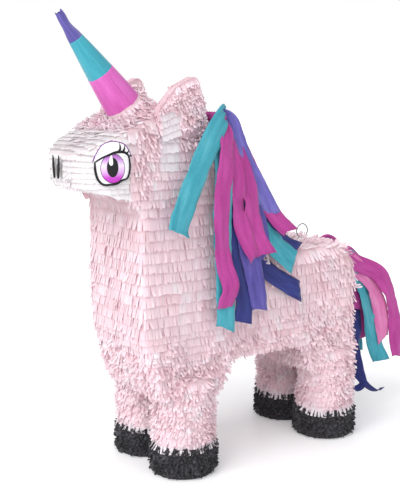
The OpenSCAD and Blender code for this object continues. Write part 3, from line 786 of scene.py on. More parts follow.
def dress_skin():
    """Level rows up the legs, body and head, then rows over the back, crown and undersides."""
    fringes = {name: Fringe() for name in SKIN_NODES}
    muzzle_at = SKIN_NODES.index("muzzle_tissue")
    hoof_top = boxes["front_left_leg_tissue"][0][2]
    top = head_high[2] + 3 * MM

    def on_side(p, n):
        return (np.abs(n[:, 2]) < 0.80) & free_to_glue(p)

    def on_pink(p, n):
        return on_side(p, n) & (owner_of(p) != muzzle_at)

    def on_white(p, n):
        return on_side(p, n) & (owner_of(p) == muzzle_at)

    # where rows run, how far apart, and each one's tab length, tab width and rule
    levels = []
    for low, high, apart, length, pitch, allowed in (
        (hoof_top + 12 * MM, SHOULDER_LOW + 6 * MM, 7.2 * MM, 9.2 * MM, 2.7 * MM, on_pink),
        (SHOULDER_LOW + 15 * MM, NECK_RUN - 13 * MM, 9.4 * MM, 12.0 * MM, 2.9 * MM, on_pink),
        (NECK_RUN, neck_high[2], 13.4 * MM, 17.5 * MM, 3.1 * MM, on_pink),
        (neck_high[2] + 11 * MM, top, 11.0 * MM, 14.0 * MM, 2.9 * MM, on_pink),
        (neck_high[2] + 10 * MM, top, 6.2 * MM, 8.0 * MM, 2.7 * MM, on_white),
    ):
        levels += [(z, length, pitch, allowed) for z in rows_between(low, high, apart)]
    for i, (level, length, pitch, allowed) in enumerate(levels):
        for j, (places, normals) in enumerate(skin_cuts(2, level)):
            closed = np.vstack([places, places[:1]]), np.vstack([normals, normals[:1]])
            hang_row(fringes, *closed, DOWN, allowed, 100 + 13 * i + 5 * j, length, pitch)

    # the last row of each leg is longer, looser and paler than the rest
    for j, (places, normals) in enumerate(skin_cuts(2, hoof_top + 13 * MM)):
        closed = np.vstack([places, places[:1]]), np.vstack([normals, normals[:1]])
        hang_row(fringes, *closed, DOWN, on_side, 1900 + j, 17.5 * MM, 3.2 * MM,
                 evenly(0.26), bleach=0.75, plies=1)

    # ruffles stand round the foot of the horn
    turn = np.linspace(0, 2 * math.pi, 121)
    side_b = np.cross(horn_axis, [1.0, 0, 0])
    out = np.cos(turn)[:, None] * np.array([1.0, 0, 0]) + np.sin(turn)[:, None] * side_b
    for i, k in enumerate((0.87, 0.92, 0.97)):
        places = horn_tip + horn_axis * k * HORN_LENGTH + out * (horn_radius(k) + 2.0 * MM)
        hang_row(fringes, places, out, horn_axis, everywhere, 1950 + i, 12.0 * MM, 2.8 * MM, evenly(0.62),
                 bleach=0.1)

    def on_top(head):
        def allowed(p, n):
            high = p[:, 2] > neck_high[2] + 20 * MM
            return (n[:, 2] > 0.62) & (p[:, 2] > NECK_RUN + 1 * MM) & free_to_glue(p) & (high == head)
        return allowed

    def underneath(p, n):
        return n[:, 2] < -0.62

    for i, y in enumerate(rows_between(muzzle_low[1] + 3 * MM, head_high[1], 9.0 * MM)):
        for places, normals in skin_cuts(1, y):
            hang_row(fringes, places, normals, FRONT, on_top(True), 2000 + 13 * i, 10.5 * MM, 2.8 * MM)
    for i, y in enumerate(rows_between(-40 * MM, body_high[1], 11.5 * MM)):
        for places, normals in skin_cuts(1, y):
            hang_row(fringes, places, normals, REAR, on_top(False), 2300 + 13 * i, 15.0 * MM, 2.9 * MM)
    for i, y in enumerate(rows_between(muzzle_low[1] + 4 * MM, body_high[1], 11.0 * MM)):
        for places, normals in skin_cuts(1, y):
            hang_row(fringes, places, normals, REAR, underneath, 2600 + 13 * i, 13.0 * MM, 3.2 * MM, plies=1)

    centres = skin_points[skin_faces].mean(axis=1)
    owners = owner_of(centres)
    open_to = free_to_glue(centres) | (horn_distance(centres) < 0)
    for index, name in enumerate(SKIN_NODES):
        chosen = skin_faces[(owners == index) & open_to]
        used, renamed = np.unique(chosen, return_inverse=True)
        fringes[name].backing(skin_points[used], skin_normals[used], renamed.reshape(-1, 3))
    return fringes


def dress_hoof(name):
    """Short, ragged rings of black tabs round a hoof."""
    fringe = Fringe()
    low, high = corners_of(f"{name}_hoof_tissue")
    middle = (low + high) / 2
    radius = (high[1] - low[1]) / 2 - 0.4 * MM
    turn = np.linspace(0, 2 * math.pi, 181)
    normals = np.stack([np.cos(turn), np.sin(turn), np.zeros(181)], axis=1)
    for i, level in enumerate(rows_between(8.5 * MM, high[2] + 1.5 * MM, 6.2 * MM)):
        places = normals * radius + np.array([middle[0], middle[1], level])
        hang_row(fringe, places, normals, DOWN, everywhere, 1200 + i, 8.6 * MM, 3.7 * MM, evenly(1.0),
                 floor=0.7 * MM)
    fringe.backing(*node_arrays(f"{name}_hoof_tissue"), depth=0.6 * MM)
    return fringe.build(f"{name}_hoof_fringe", BLACK_TISSUE)


def dress_ear(side):
    """Rows over both faces of an ear, and a short ragged edge round its rim."""
    name = "left" if side > 0 else "right"
    points, normals, triangles = node_arrays(f"{name}_ear_tissue")
    tree = BVHTree.FromPolygons(points.tolist(), triangles.tolist())
    fringe = Fringe()
    low, high = boxes[f"{name}_ear_tissue"]
    base = head_high[2]
    for facing in (1, -1):
        way = Vector((-side * facing, 0, 0))
        start = side * (HALF_WIDTH + 40 * MM) if facing > 0 else 0.0
        first = base - (24 * MM if facing > 0 else 2 * MM)
        for i, level in enumerate(rows_between(first, high[2] - 4 * MM, 7.6 * MM)):
            hits = []
            for y in np.arange(low[1] - 4 * MM, high[1] + 4 * MM, 1.5 * MM):
                # rows climb a little towards the rear
                z = level + (y - low[1] - 28 * MM) * 0.30
                place, normal, _, _ = tree.ray_cast(Vector((start, y, z)), way)
                if place is not None and side * facing * normal.x > 0.6 and abs(place.x) > 50 * MM:
                    hits.append((place, normal))
            if len(hits) > 3:
                places, outs = (np.array([h[k] for h in hits]) for k in (0, 1))
                hang_row(fringe, places, outs, (0, 0.15, -1), everywhere, 1500 + 40 * facing + i + 7 * side,
                         10.0 * MM, 2.7 * MM, lambda p: np.where(in_white_patch(p), 0.0, 0.34), shift=-0.03)
    middle = Vector((side * (HALF_WIDTH - 2.5 * MM), (low[1] + high[1]) / 2, base - 6 * MM))
    rim = []
    for turn in np.linspace(math.radians(-8), math.radians(188), 90):
        out = Vector((0, math.cos(turn), math.sin(turn)))
        place, normal, _, _ = tree.ray_cast(middle + out * 120 * MM, -out)
        if place is not None and place.z > base - 20 * MM:
            rim.append((place - normal * 3.0 * MM, normal))
    places, outs = (np.array([r[k] for r in rim]) for k in (0, 1))
    for lean in (-0.8, -0.3, 0.3, 0.8):
        root, normal, _ = resampled(places, outs, 2.8 * MM)
        n = len(root)
        across = np.array([side, 0, 0.0])
        face = unit(across * np.sign(lean) + normal * abs(lean) * 0.8)
        heading = unit(normal * 0.35 + np.array([0, 0.25, -0.9]) + rng.normal(0, 0.25, (n, 3)))
        heading = unit(heading - face * (heading * face).sum(1, keepdims=True))
        fringe.tabs(root + across * lean * 3.5 * MM, face, heading, rng.uniform(5.0, 10.0, n) * MM,
                    np.full(n, 2.9 * MM), np.full(n, 0.15), np.full(n, 0.4),
                    np.clip(rng.normal(0.45, 0.1, n), 0, 1), np.zeros(n))
    fringe.backing(points, normals, triangles, depth=0.9 * MM)
    return fringe.build(f"{name}_ear_fringe", PINK_TISSUE)


def dress_flap():
    """The flap's own rows, in line with those of the back, over its uncut tissue."""
    fringe = Fringe()
    for i, y in enumerate(rows_between(flap_low[1] + 1 * MM, flap_high[1] - 9 * MM, 11.0 * MM)):
        xs = np.arange(flap_low[0] + 1 * MM, flap_high[0] - 1 * MM, 2 * MM)
        places = np.stack([xs, np.full(len(xs), y), np.full(len(xs), flap_high[2])], axis=1)
        room = min(14.5 * MM, flap_high[1] - y - 0.5 * MM)
        hang_row(fringe, places, np.tile([0, 0, 1.0], (len(xs), 1)), REAR, everywhere, 1700 + i, room,
                 2.9 * MM, evenly(0.26))
    fringe.backing(*node_arrays("fill_flap_tissue"), depth=0.5 * MM)
    return fringe.build("fill_flap_fringe", PINK_TISSUE)


# ---- Horn ----

def horn_piece(name, k_from, k_to, material, lift, thick, seed=1):
    """One layer of the horn: a cone with faint creases whose tip is pinched flat and left open."""
    rows, columns = 40, 96
    turn = np.linspace(0, 2 * math.pi, columns + 1)
    side_a = np.array([1.0, 0, 0])
    side_b = np.cross(horn_axis, side_a)
    points, uv = [], []
    for k in np.linspace(k_from, k_to, rows):
        crease = 0.10 * MM * np.sin(turn * 7 + k * 9 + seed) + 0.16 * MM * np.sin(turn * 3 + k * 6 + 2 * seed)
        facet = 0.35 * MM * k * np.cos(turn * 2 + seed)
        radius = horn_radius(k) + lift + crease + facet
        pinch = 1 - smoothstep(0.0, 0.20, np.array(k))
        wide = radius * (1 + 0.42 * pinch)
        narrow = radius * (1 - 0.52 * pinch)
        bend = 0.55 + 1.1 * pinch
        flat_a, flat_b = wide * np.cos(turn - bend), narrow * np.sin(turn - bend)
        a = flat_a * np.cos(bend) - flat_b * np.sin(bend)
        b = flat_a * np.sin(bend) + flat_b * np.cos(bend)
        length = np.full(columns + 1, k * HORN_LENGTH)
        if k == k_from == 0:
            length += 1.1 * MM * np.sin(turn * 2 + 0.6) + 0.7 * MM * np.sin(turn * 5 + 1)
        if k == k_to:
            length += 0.35 * MM * np.sin(turn * 4 + seed) + 0.25 * MM * np.sin(turn * 9)
        forward = 2.2 * MM * pinch ** 2
        points.append(horn_tip + horn_axis * length[:, None] + side_a * a[:, None]
                      + side_b * (b - forward)[:, None])
        uv.append(np.stack([np.full(columns + 1, k * HORN_LENGTH), turn * 20 * MM], axis=1))
    piece = make_object(name, np.vstack(points), grid_faces(rows, columns + 1), [material], True,
                        uv=np.vstack(uv))
    solid = piece.modifiers.new("paper", "SOLIDIFY")
    solid.thickness = thick
    solid.offset = -1
    return piece


# ---- Eyes and nostrils ----

STICKER_LIFT = 1.9 * MM
LAYER = 0.14 * MM
MUZZLE_R = 50 * MM
muzzle_centre = np.array([HALF_WIDTH - MUZZLE_R, muzzle_low[1] + MUZZLE_R])
eye_height = (eye_low[2] + eye_high[2]) / 2
EYE_FORWARD = 14.3 * MM
EYE_SCALE_U, EYE_SCALE_V = 0.95, 0.92


def on_cheek(side, u, v, layer):
    """A place on the muzzle: u runs to the nose from where it starts to bend, v up from the eye's middle."""
    lift = STICKER_LIFT + LAYER * layer
    r = MUZZLE_R + lift
    bent = np.maximum(u, 0) / MUZZLE_R
    x = muzzle_centre[0] + r * np.cos(bent)
    y = muzzle_centre[1] - r * np.sin(bent) - np.minimum(u, 0)
    return np.stack([side * x, y, eye_height + v], axis=-1)


class Decal:
    """Collects flat shapes that are bent over the muzzle, each with its own ink."""

    def __init__(self, side):
        self.side = side
        self.points, self.faces, self.inks, self.uv = [], [], [], []
        self.count = 0

    def add(self, u, v, layer, faces, ink, uv):
        far = self.side < 0
        u = u * EYE_SCALE_U + EYE_FORWARD - 5 * MM * far
        v = v * (EYE_SCALE_V - 0.06 * far) - 3 * MM * far
        self.points.append(on_cheek(self.side, u, v, layer))
        turned = faces if self.side > 0 else [tuple(reversed(f)) for f in faces]
        self.faces += [tuple(i + self.count for i in f) for f in turned]
        self.inks += [ink] * len(faces)
        self.uv.append(uv)
        self.count += len(u)

    def blob(self, outline, layer, ink, rings=7):
        """A filled closed outline of [u, v] points, as rings round its middle."""
        edge = np.asarray(outline, float)
        middle = edge.mean(axis=0)
        n = len(edge)
        shares = np.linspace(1, 0, rings + 1)[:-1]
        grid = np.vstack([middle + (edge - middle) * s for s in shares])
        faces = grid_faces(rings, n, 0, closed=True)
        last = (rings - 1) * n
        grid = np.vstack([grid, middle])
        faces += [(last + j, last + (j + 1) % n, rings * n) for j in range(n)]
        low, high = edge.min(axis=0), edge.max(axis=0)
        self.add(grid[:, 0], grid[:, 1], layer, faces, ink, (grid - low) / (high - low))

    def stroke(self, line, widths, layer, ink, steps=72):
        """A line of changing width through [u, v] points."""
        path = through(line, steps)
        wide = np.interp(np.linspace(0, 1, steps + 1), np.linspace(0, 1, len(widths)), widths)
        ahead = unit(np.gradient(path, axis=0))
        off = np.stack([-ahead[:, 1], ahead[:, 0]], axis=1) * wide[:, None] / 2
        grid = np.stack([path - off, path, path + off], axis=1).reshape(-1, 2)
        faces = [tuple(reversed(f)) for f in grid_faces(steps + 1, 3)]
        self.add(grid[:, 0], grid[:, 1], layer, faces, ink, grid)


def closed_curve(points, steps=72):
    """A smooth closed outline through a few points."""
    wrapped = [points[-1]] + list(points) + [points[0], points[1]]
    whole = through(np.array(wrapped, float), steps * 3)
    first = np.argmin(np.linalg.norm(whole[:steps] - points[0], axis=1))
    gaps = np.linalg.norm(whole[steps:] - points[0], axis=1)
    last = steps + int(np.argmin(gaps))
    return whole[first:last]


def oval(centre, half, steps=60):
    turn = np.linspace(0, 2 * math.pi, steps, endpoint=False)
    return np.stack([centre[0] + half[0] * np.cos(turn), centre[1] + half[1] * np.sin(turn)], axis=1)


def make_eye(side):
    """The printed eye, drawn in millimetres: u towards the nose, v up."""
    name = "left" if side > 0 else "right"
    decal = Decal(side)
    arc = [(23.6, 3.4), (20, 12), (13.5, 22.8), (4.9, 27.3), (-3.7, 27.3), (-12.6, 23.9), (-19, 15.6),
           (-21.8, 7.8)]
    lid = [(21.7, 2.5), (13.5, 7.8), (4.9, 11.7), (-2.8, 14.5), (-11.5, 14.5), (-17, 11.2), (-19, 6.7)]
    rim = [(21.2, 2.5), (21, -6.6), (19, -16), (15.3, -22), (11, -24.6), (5.5, -24.6), (-2.8, -23.7),
           (-9.3, -19.8), (-15.9, -17.6), (-19, -10.4), (-19.9, -2.1), (-19, 6.7)]
    upper = through(np.array(arc), 50) * MM
    lower = through(np.array(rim), 70) * MM
    whole = np.vstack([upper, lower[::-1]])
    decal.blob(whole, 0, 0)
    decal.blob(oval((0.9 * MM, -5.0 * MM), (14.4 * MM, 18.1 * MM)), 1, 1)
    decal.blob(oval((0.9 * MM, -5.0 * MM), (13.7 * MM, 17.4 * MM)), 2, 3)
    decal.blob(oval((1.3 * MM, -3.7 * MM), (6.6 * MM, 11.9 * MM)), 3, 1)
    drop = [(2.6, 12.0), (5.6, 4.6), (5.0, 0.2), (3.0, -1.6), (1.0, 0.4), (1.2, 5.5)]
    decal.blob(closed_curve(np.array(drop) * MM), 4, 0)
    # the lid hides the top of the iris
    cover = np.vstack([through(np.array(lid), 40) * MM,
                       (through(np.array(arc), 40) * MM * [0.985, 0.985])[::-1]])
    decal.blob(cover, 4.6, 0, rings=4)
    rim_widths = np.array([1.6, 2.8, 2.9, 2.7, 2.7, 2.6, 2.6, 2.4, 2.4, 2.6, 2.6, 2.0]) * MM
    decal.stroke(np.array(rim) * MM, rim_widths, 5.4, 1)
    decal.stroke(np.array(lid) * MM, np.array([1.6, 2.0, 2.3, 3.0, 3.4, 3.0, 2.2]) * MM, 6, 1)
    decal.stroke(np.array(arc) * MM, np.array([1.5, 1.1, 1.0, 1.0, 1.1, 1.2, 1.1, 0.9]) * MM, 5.6, 2)
    # lashes stand on the lid, each from a broad foot to a fine tip
    for foot, bend, tip, wide in (
        ((-5.6, 13.8), (-7.6, 19.5), (-6.6, 26.6), 3.8),
        ((-10.6, 14.4), (-12.6, 18.6), (-13.0, 23.4), 3.4),
        ((-15.4, 12.6), (-17.6, 15.0), (-18.6, 18.6), 2.6),
    ):
        lash_widths = np.array([wide, 0.55 * wide, 0.25]) * MM
        decal.stroke(np.array([foot, bend, tip]) * MM, lash_widths, 6.6, 1, steps=16)
    corner_lash = np.array([(-18.4, 8.6), (-21.2, 10.6), (-22.4, 9.0)]) * MM
    decal.stroke(corner_lash, np.array([2.4, 1.4, 0.5]) * MM, 6.8, 1, steps=12)
    return make_object(f"{name}_eye", np.vstack(decal.points), decal.faces,
                       [EYE_WHITE, EYE_BLACK, EYE_PURPLE, EYE_IRIS], True,
                       uv=np.vstack(decal.uv), slots=decal.inks)


def make_nostrils():
    """Two tall nostrils of black paper on the front of the nose, a little bent and ragged."""
    points, faces, count = [], [], 0
    y_face = nostril_low[1] - STICKER_LIFT - 1.2 * MM
    for side in (-1, 1):
        x_mid = side * (nostril_high[0] - 2.75 * MM)
        half_w = 3.1 * MM
        z_mid = (nostril_low[2] + nostril_high[2]) / 2
        half_h = (nostril_high[2] - nostril_low[2]) / 2
        n, rings = 48, 5
        turn = np.linspace(0, 2 * math.pi, n, endpoint=False)
        rough = 1 + 0.05 * wavy(turn * 0.01, 60 + side, 12 * MM)
        c, s = np.cos(turn), np.sin(turn)
        edge_x = np.sign(c) * np.abs(c) ** 0.8 * half_w * rough * (1 - 0.22 * s)
        edge_z = np.sign(s) * np.abs(s) ** 0.75 * half_h * rough
        for share in np.linspace(1, 0, rings + 1)[:-1]:
            x = x_mid + edge_x * share + side * 1.4 * MM * (edge_z * share / half_h)
            dome = 0.35 * MM * (1 - share ** 2)
            points.append(np.stack([x, np.full(n, y_face) - dome, z_mid + edge_z * share], axis=1))
        points.append(np.array([[x_mid, y_face - 0.35 * MM, z_mid]]))
        faces += grid_faces(rings, n, count, closed=True)
        last = count + (rings - 1) * n
        faces += [(last + j, last + (j + 1) % n, count + rings * n) for j in range(n)]
        count += rings * n + 1
    piece = make_object("nostrils", np.vstack(points), faces, [NOSTRIL_BLACK])
    solid = piece.modifiers.new("paper", "SOLIDIFY")
    solid.thickness = 0.3 * MM
    return piece


# ---- Streamers ----

STREAMER = 25 * MM


def settle(piece, body, slot, *stands_for):
    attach(piece, body)
    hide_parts(*stands_for)


def streamer(name, slot, body, stands_for, places, turns, seed, width=STREAMER, fold=0.2, pinch=0.45,
             slant=0.0, look=None):
    """A crepe strip along [x, y, z] places in millimetres, turned about its line by turns in degrees."""
    steps, wide = 72, 9
    path = through(np.array(places, float) * MM, steps)
    share = np.linspace(0, 1, steps + 1)
    ahead = unit(np.gradient(path, axis=0))
    turn = np.radians(np.interp(share, np.linspace(0, 1, len(turns)), turns))
    kernel = np.hanning(9) / np.hanning(9).sum()
    turn = np.convolve(np.pad(turn, 4, mode="edge"), kernel, mode="valid")
    side = unit(np.cross(np.array([1.0, 0, 0]), ahead))
    # carry the side along so that it never flips where the strip curls back
    for i in range(1, len(side)):
        if side[i] @ side[i - 1] < 0:
            side[i] = -side[i]
    face = np.cross(ahead, side)
    c, s = np.cos(turn)[:, None], np.sin(turn)[:, None]
    side, face = side * c + face * s, face * c - side * s
    u = np.linspace(-1, 1, wide)
    gathered = pinch + (1 - pinch) * smoothstep(0.0, 0.16, share)
    half = width / 2 * gathered
    run = share * np.linalg.norm(np.diff(path, axis=0), axis=1).sum()
    draw = np.random.default_rng(seed)
    pleat = (1 - smoothstep(0.0, 0.30, share))[:, None] * 2.2 * MM * np.cos(u[None] * math.pi * 2.5)
    crease_at = draw.uniform(-0.5, 0.5)
    crease = 0.5 * MM * np.cos(u[None] * 7 + 3 * wavy(run, seed + 2, 90 * MM)[:, None])
    ripple = (0.9 * MM * wavy(run, seed, 34 * MM)[:, None] * u[None]
              + 0.8 * MM * wavy(run, seed + 1, 22 * MM)[:, None] * (u[None] ** 2))
    ridge = crease_at * 0.8 + 0.35 * wavy(run, seed + 4, 140 * MM)[:, None]
    away = np.sqrt((u[None] - ridge) ** 2 + 0.03)
    folded = -fold * width / 2 * away * (0.6 + 0.5 * wavy(run, seed + 6, 110 * MM)[:, None])
    kink = 0.7 * MM * wavy(run, seed + 8, 48 * MM)[:, None] * smoothstep(0.1, 0.3, share)[:, None]
    out = folded + kink + crease + ripple * smoothstep(0.05, 0.3, share)[:, None] + pleat
    points = (path[:, None] + side[:, None] * (half[:, None] * u[None])[..., None]
              + face[:, None] * out[..., None])
    tail = smoothstep(0.985, 1.0, share)[:, None, None]
    points = points + ahead[:, None] * (slant * width * u[None, :, None] * tail)
    uv = np.stack([np.repeat(run, wide), np.tile(u * width / 2, steps + 1)], axis=1)
    piece = make_object(name, points.reshape(-1, 3), grid_faces(steps + 1, wide), [look or CREPE[slot]],
                        True, uv=uv)
    solid = piece.modifiers.new("paper", "SOLIDIFY")
    solid.thickness = 0.18 * MM
    settle(piece, body, slot, stands_for)


def make_mane():
    """The mane: crepe strips that fan down the left side from the tie behind the ear."""
    tie_low, tie_high = corners_of("mane_tie")
    y0, z0 = ((tie_low + tie_high) / 2 / MM)[1:]
    mauve = ("magenta_crepe", "mane_magenta_streamers")
    teal = ("teal_crepe", "mane_teal_streamers")
    purple = ("purple_crepe", "mane_purple_streamers")
    blue = ("blue_crepe", "mane_blue_streamers")
    strips = [
        ("mane_blue_rear", blue, [
            (67, y0, z0), (69.5, -80, 400), (69.5, -62, 340), (70.4, -38, 272), (72.1, -13, 247),
            (73.8, 16, 228), (76.3, 38, 215),
        ], [0, 6, -8, -10, -14], -0.3, 1.0),
        ("mane_blue_back", blue, [
            (67, y0, z0), (68.6, -70, 410), (68.6, -40, 350), (69.5, -10, 300), (70.3, 16, 276),
            (72, 34, 268),
        ], [0, 8, 4, -6, -10], 0.3, 1.1),
        ("mane_teal_rear", teal, [
            (67.8, y0, z0), (71.1, -72, 400), (71.1, -46, 342), (71.9, -24, 303), (73.6, 0, 277),
            (76.2, 27, 254),
        ], [0, 5, -6, -8, -10], -0.1, 1.25),
        ("mane_purple_inner", purple, [
            (68.7, y0, z0), (74.4, -74, 408), (74.4, -52, 364), (74.4, -40, 326), (74.4, -30, 288),
            (75.2, -24, 264),
        ], [0, 6, -8, 8, 0], -0.2, 1.2),
        ("mane_magenta_far", mauve, [
            (67.8, y0, z0), (72.6, -70, 420), (73.5, -44, 374), (75.2, -20, 336), (77.7, -2, 312),
            (81.1, 14, 297),
        ], [0, 8, 14, 4, -12], 0.45, 0.9),
        ("mane_purple_outer", purple, [
            (68.7, y0, z0 + 5), (77.6, -84, 440), (78.5, -70, 412), (77.6, -50, 376), (76.8, -28, 344),
            (75.9, -12, 318),
        ], [30, 12, 8, 12, 18], 0.1, 1.0),
        ("mane_blue_front", blue, [
            (68.7, y0, z0), (77.5, -86, 400), (78.4, -82, 345), (78.4, -73, 290), (79.2, -62, 250),
            (80.9, -58, 215), (82.6, -60, 188),
        ], [0, 0, 14, -10, 6], 0.1, 1.05),
        ("mane_purple_low", purple, [
            (69.5, y0, z0), (77.5, -80, 380), (80, -64, 320), (80.9, -52, 280), (81.7, -42, 243),
            (82.6, -33, 201),
        ], [0, 6, -12, 10, -6], 0.25, 1.05),
        ("mane_magenta_rear", mauve, [
            (68.7, y0, z0), (76.5, -76, 410), (79.1, -58, 370), (82.5, -50, 346), (84.2, -48, 316),
            (85.9, -42, 290), (88.4, -30, 272),
        ], [0, 10, 20, -14, 16, 28], 0.25, 1.0),
        ("mane_magenta_fold", mauve, [
            (69.5, y0, z0), (82.4, -82, 405), (84.1, -73, 368), (84.9, -70, 335), (84.9, -66, 312),
            (86.6, -56, 288), (88.3, -48, 270),
        ], [0, -10, 22, -18, 18, -20], -0.15, 0.85),
        ("mane_teal_low", teal, [
            (70.4, y0, z0), (84, -92, 390), (84.8, -94, 330), (84.8, -92, 270), (85.7, -90, 225),
            (87.4, -91, 186),
        ], [0, 0, 4, -4, 8], 0.25, 1.05),
        ("mane_magenta_front", mauve, [
            (71.2, y0, z0 + 2), (88.2, -92, 424), (89.9, -92, 391), (89, -97, 350), (89, -98, 305),
            (89.9, -95, 266), (93.3, -88, 238), (89, -93, 212),
        ], [30, -16, 8, 4, -6, 14, -8], -0.1, 0.92),
        ("mane_teal_front", teal, [
            (70.4, y0 + 4, z0 + 6), (88.9, -96, 445), (91.5, -106, 431), (90.6, -122, 402),
            (88.9, -139, 364), (88.1, -155, 328), (90.6, -161, 316), (94.9, -163, 311),
        ], [-40, -10, 4, -4, 3, 0, 6], 0.12, 1.1),
    ]
    for i, (name, (slot, stands_for), places, turns, slant, wide) in enumerate(strips):
        look = LILAC if name == "mane_purple_outer" else None
        streamer(name, slot, "shell", stands_for, places, turns, 2000 + 17 * i, STREAMER * wide,
                 slant=slant, look=look)


def make_tail():
    """The tail: strips that arch back from the tie on the rump and hang to the floor."""
    tie_low, tie_high = corners_of("tail_tie")
    y0, z0 = ((tie_low + tie_high) / 2 / MM)[1:]
    magenta = ("magenta_crepe", "tail_magenta_streamers")
    pink = ("pink_crepe", "tail_pink_streamers")
    teal = ("teal_crepe", "tail_teal_streamers")
    blue = ("blue_crepe", "tail_blue_streamers")
    strips = [
        ("tail_magenta_near", magenta, [
            (14, y0, z0), (18, 160, 247), (20, 178, 239), (20, 197, 220), (19, 206, 190), (18, 204, 156),
        ], [0, 10, -12, 8, -10], 0.1),
        ("tail_magenta_outer", magenta, [
            (19, y0, z0), (24, 160, 243), (27, 190, 228), (29, 234, 205), (30, 259, 163), (30, 271, 110),
            (29, 277, 76),
        ], [0, -14, 14, -16, 12, -6], 0.25),
        ("tail_pink_near", pink, [
            (16, y0, z0), (21, 164, 242), (24, 190, 222), (26, 217, 196), (26, 238, 158), (25, 248, 106),
        ], [0, 16, -18, 20, -8], -0.2),
        ("tail_teal_near", teal, [
            (12, y0, z0), (20, 166, 246), (23, 188, 226), (24, 208, 186), (24, 220, 140), (24, 232, 100),
            (28, 243, 74),
        ], [0, -8, 10, -14, 10, 30], 0.15),
        ("tail_blue_near", blue, [
            (8, y0, z0), (10, 164, 244), (12, 182, 214), (13, 196, 160), (13, 200, 116), (12, 196, 82),
        ], [0, 8, -10, 12, -6], 0.3),
        ("tail_blue_middle", blue, [
            (2, y0, z0), (2, 166, 246), (2, 186, 216), (2, 204, 160), (2, 212, 110), (3, 214, 64),
        ], [0, -20, 30, -30, 20], -0.2),
        ("tail_teal_middle", teal, [
            (-3, y0, z0), (-4, 166, 248), (-4, 182, 222), (-3, 194, 170), (-3, 196, 110), (0, 194, 60),
            (4, 200, 28),
        ], [0, 14, -20, 24, -16], 0.25),
        ("tail_magenta_middle", magenta, [
            (-2, y0, z0), (-2, 164, 244), (-3, 196, 228), (-4, 228, 200), (-4, 240, 150), (-5, 240, 104),
        ], [0, 18, -20, 16, -10], -0.1),
        ("tail_pink_far", pink, [
            (-14, y0, z0), (-18, 166, 248), (-21, 198, 230), (-23, 228, 196), (-23, 250, 150),
            (-22, 256, 106),
        ], [0, -10, 20, -16, 10], 0.2),
        ("tail_magenta_far", magenta, [
            (-11, y0, z0), (-14, 168, 256), (-16, 188, 236), (-17, 202, 196), (-17, 208, 140),
            (-16, 208, 88),
        ], [0, 12, -14, 12, -12], -0.2),
        ("tail_teal_far", teal, [
            (-8, y0, z0), (-9, 166, 250), (-10, 190, 228), (-11, 214, 186), (-11, 226, 132),
            (-13, 230, 84),
        ], [0, -16, 12, -22, 20], 0.15),
    ]
    for i, (name, (slot, stands_for), places, turns, slant) in enumerate(strips):
        streamer(name, slot, "tail", stands_for, places, turns, 2400 + 17 * i, pinch=0.5,
                 slant=slant)
    # a narrow torn strip that loops under the tail and ends in a hair-thin curl
    streamer("tail_purple_shred", "blue_crepe", "tail", "tail_blue_streamers",
             [(6, y0, z0), (8, 172, 236), (10, 192, 170), (12, 200, 112), (14, 214, 62), (15, 219, 40),
              (14, 204, 34), (12, 192, 52), (12, 196, 66), (14, 210, 52), (16, 228, 34), (18, 246, 24),
              (18, 258, 27)],
             [0, 20, -30, 50, 20, 60, 30, 70], 2700, 10.5 * MM, 0.05, 0.6)


def make_tie(name, stands_for, body, radius, lobes):
    """A bound bundle of crepe: pinched turns round the gathered ends."""
    low, high = corners_of(stands_for)
    rows, columns = 61, 40
    x = np.linspace(low[0], high[0], rows)
    middle = (low + high) / 2
    turn = np.linspace(0, 2 * math.pi, columns, endpoint=False)
    share = np.linspace(0, 1, rows)
    points, uv = [], []
    for i in range(rows):
        turns = 0.55 * MM * math.sin(share[i] * lobes * 2 * math.pi)
        end = min(share[i], 1 - share[i])
        taper = 0.55 + 0.45 * float(smoothstep(0.0, 0.10, np.array(end)))
        pleats = 0.5 * MM * np.cos(turn * 9 + share[i] * 3)
        r = (radius + turns) * taper + pleats
        ring = [np.full(columns, x[i]), middle[1] + r * np.cos(turn), middle[2] + r * np.sin(turn)]
        points.append(np.stack(ring, axis=1))
        uv.append(np.stack([turn * radius, np.full(columns, x[i])], axis=1))
    points.append(np.array([[x[0], middle[1], middle[2]], [x[-1], middle[1], middle[2]]]))
    uv.append(np.zeros((2, 2)))
    faces = grid_faces(rows, columns, 0, closed=True)
    end = rows * columns
    faces += [((j + 1) % columns, j, end) for j in range(columns)]
    faces += [(end - columns + j, end - columns + (j + 1) % columns, end + 1) for j in range(columns)]
    piece = make_object(name, np.vstack(points), faces, [MAGENTA], True, uv=np.vstack(uv))
    settle(piece, body, "magenta_crepe", stands_for)


def finish_cad_nodes():
    """Gives every CAD node of card, dowel wood or steel wire its own material."""
    looks = {"card": KRAFT, "dowel_wood": WOOD, "steel_wire": WIRE}
    for part in frame["record"]["subparts"]:
        thing = frame["nodes"][part["node"]]
        look = looks.get(part["material_slot"])
        if look is not None:
            thing.data.materials.clear()
            thing.data.materials.append(look)


# ---- Stage ----

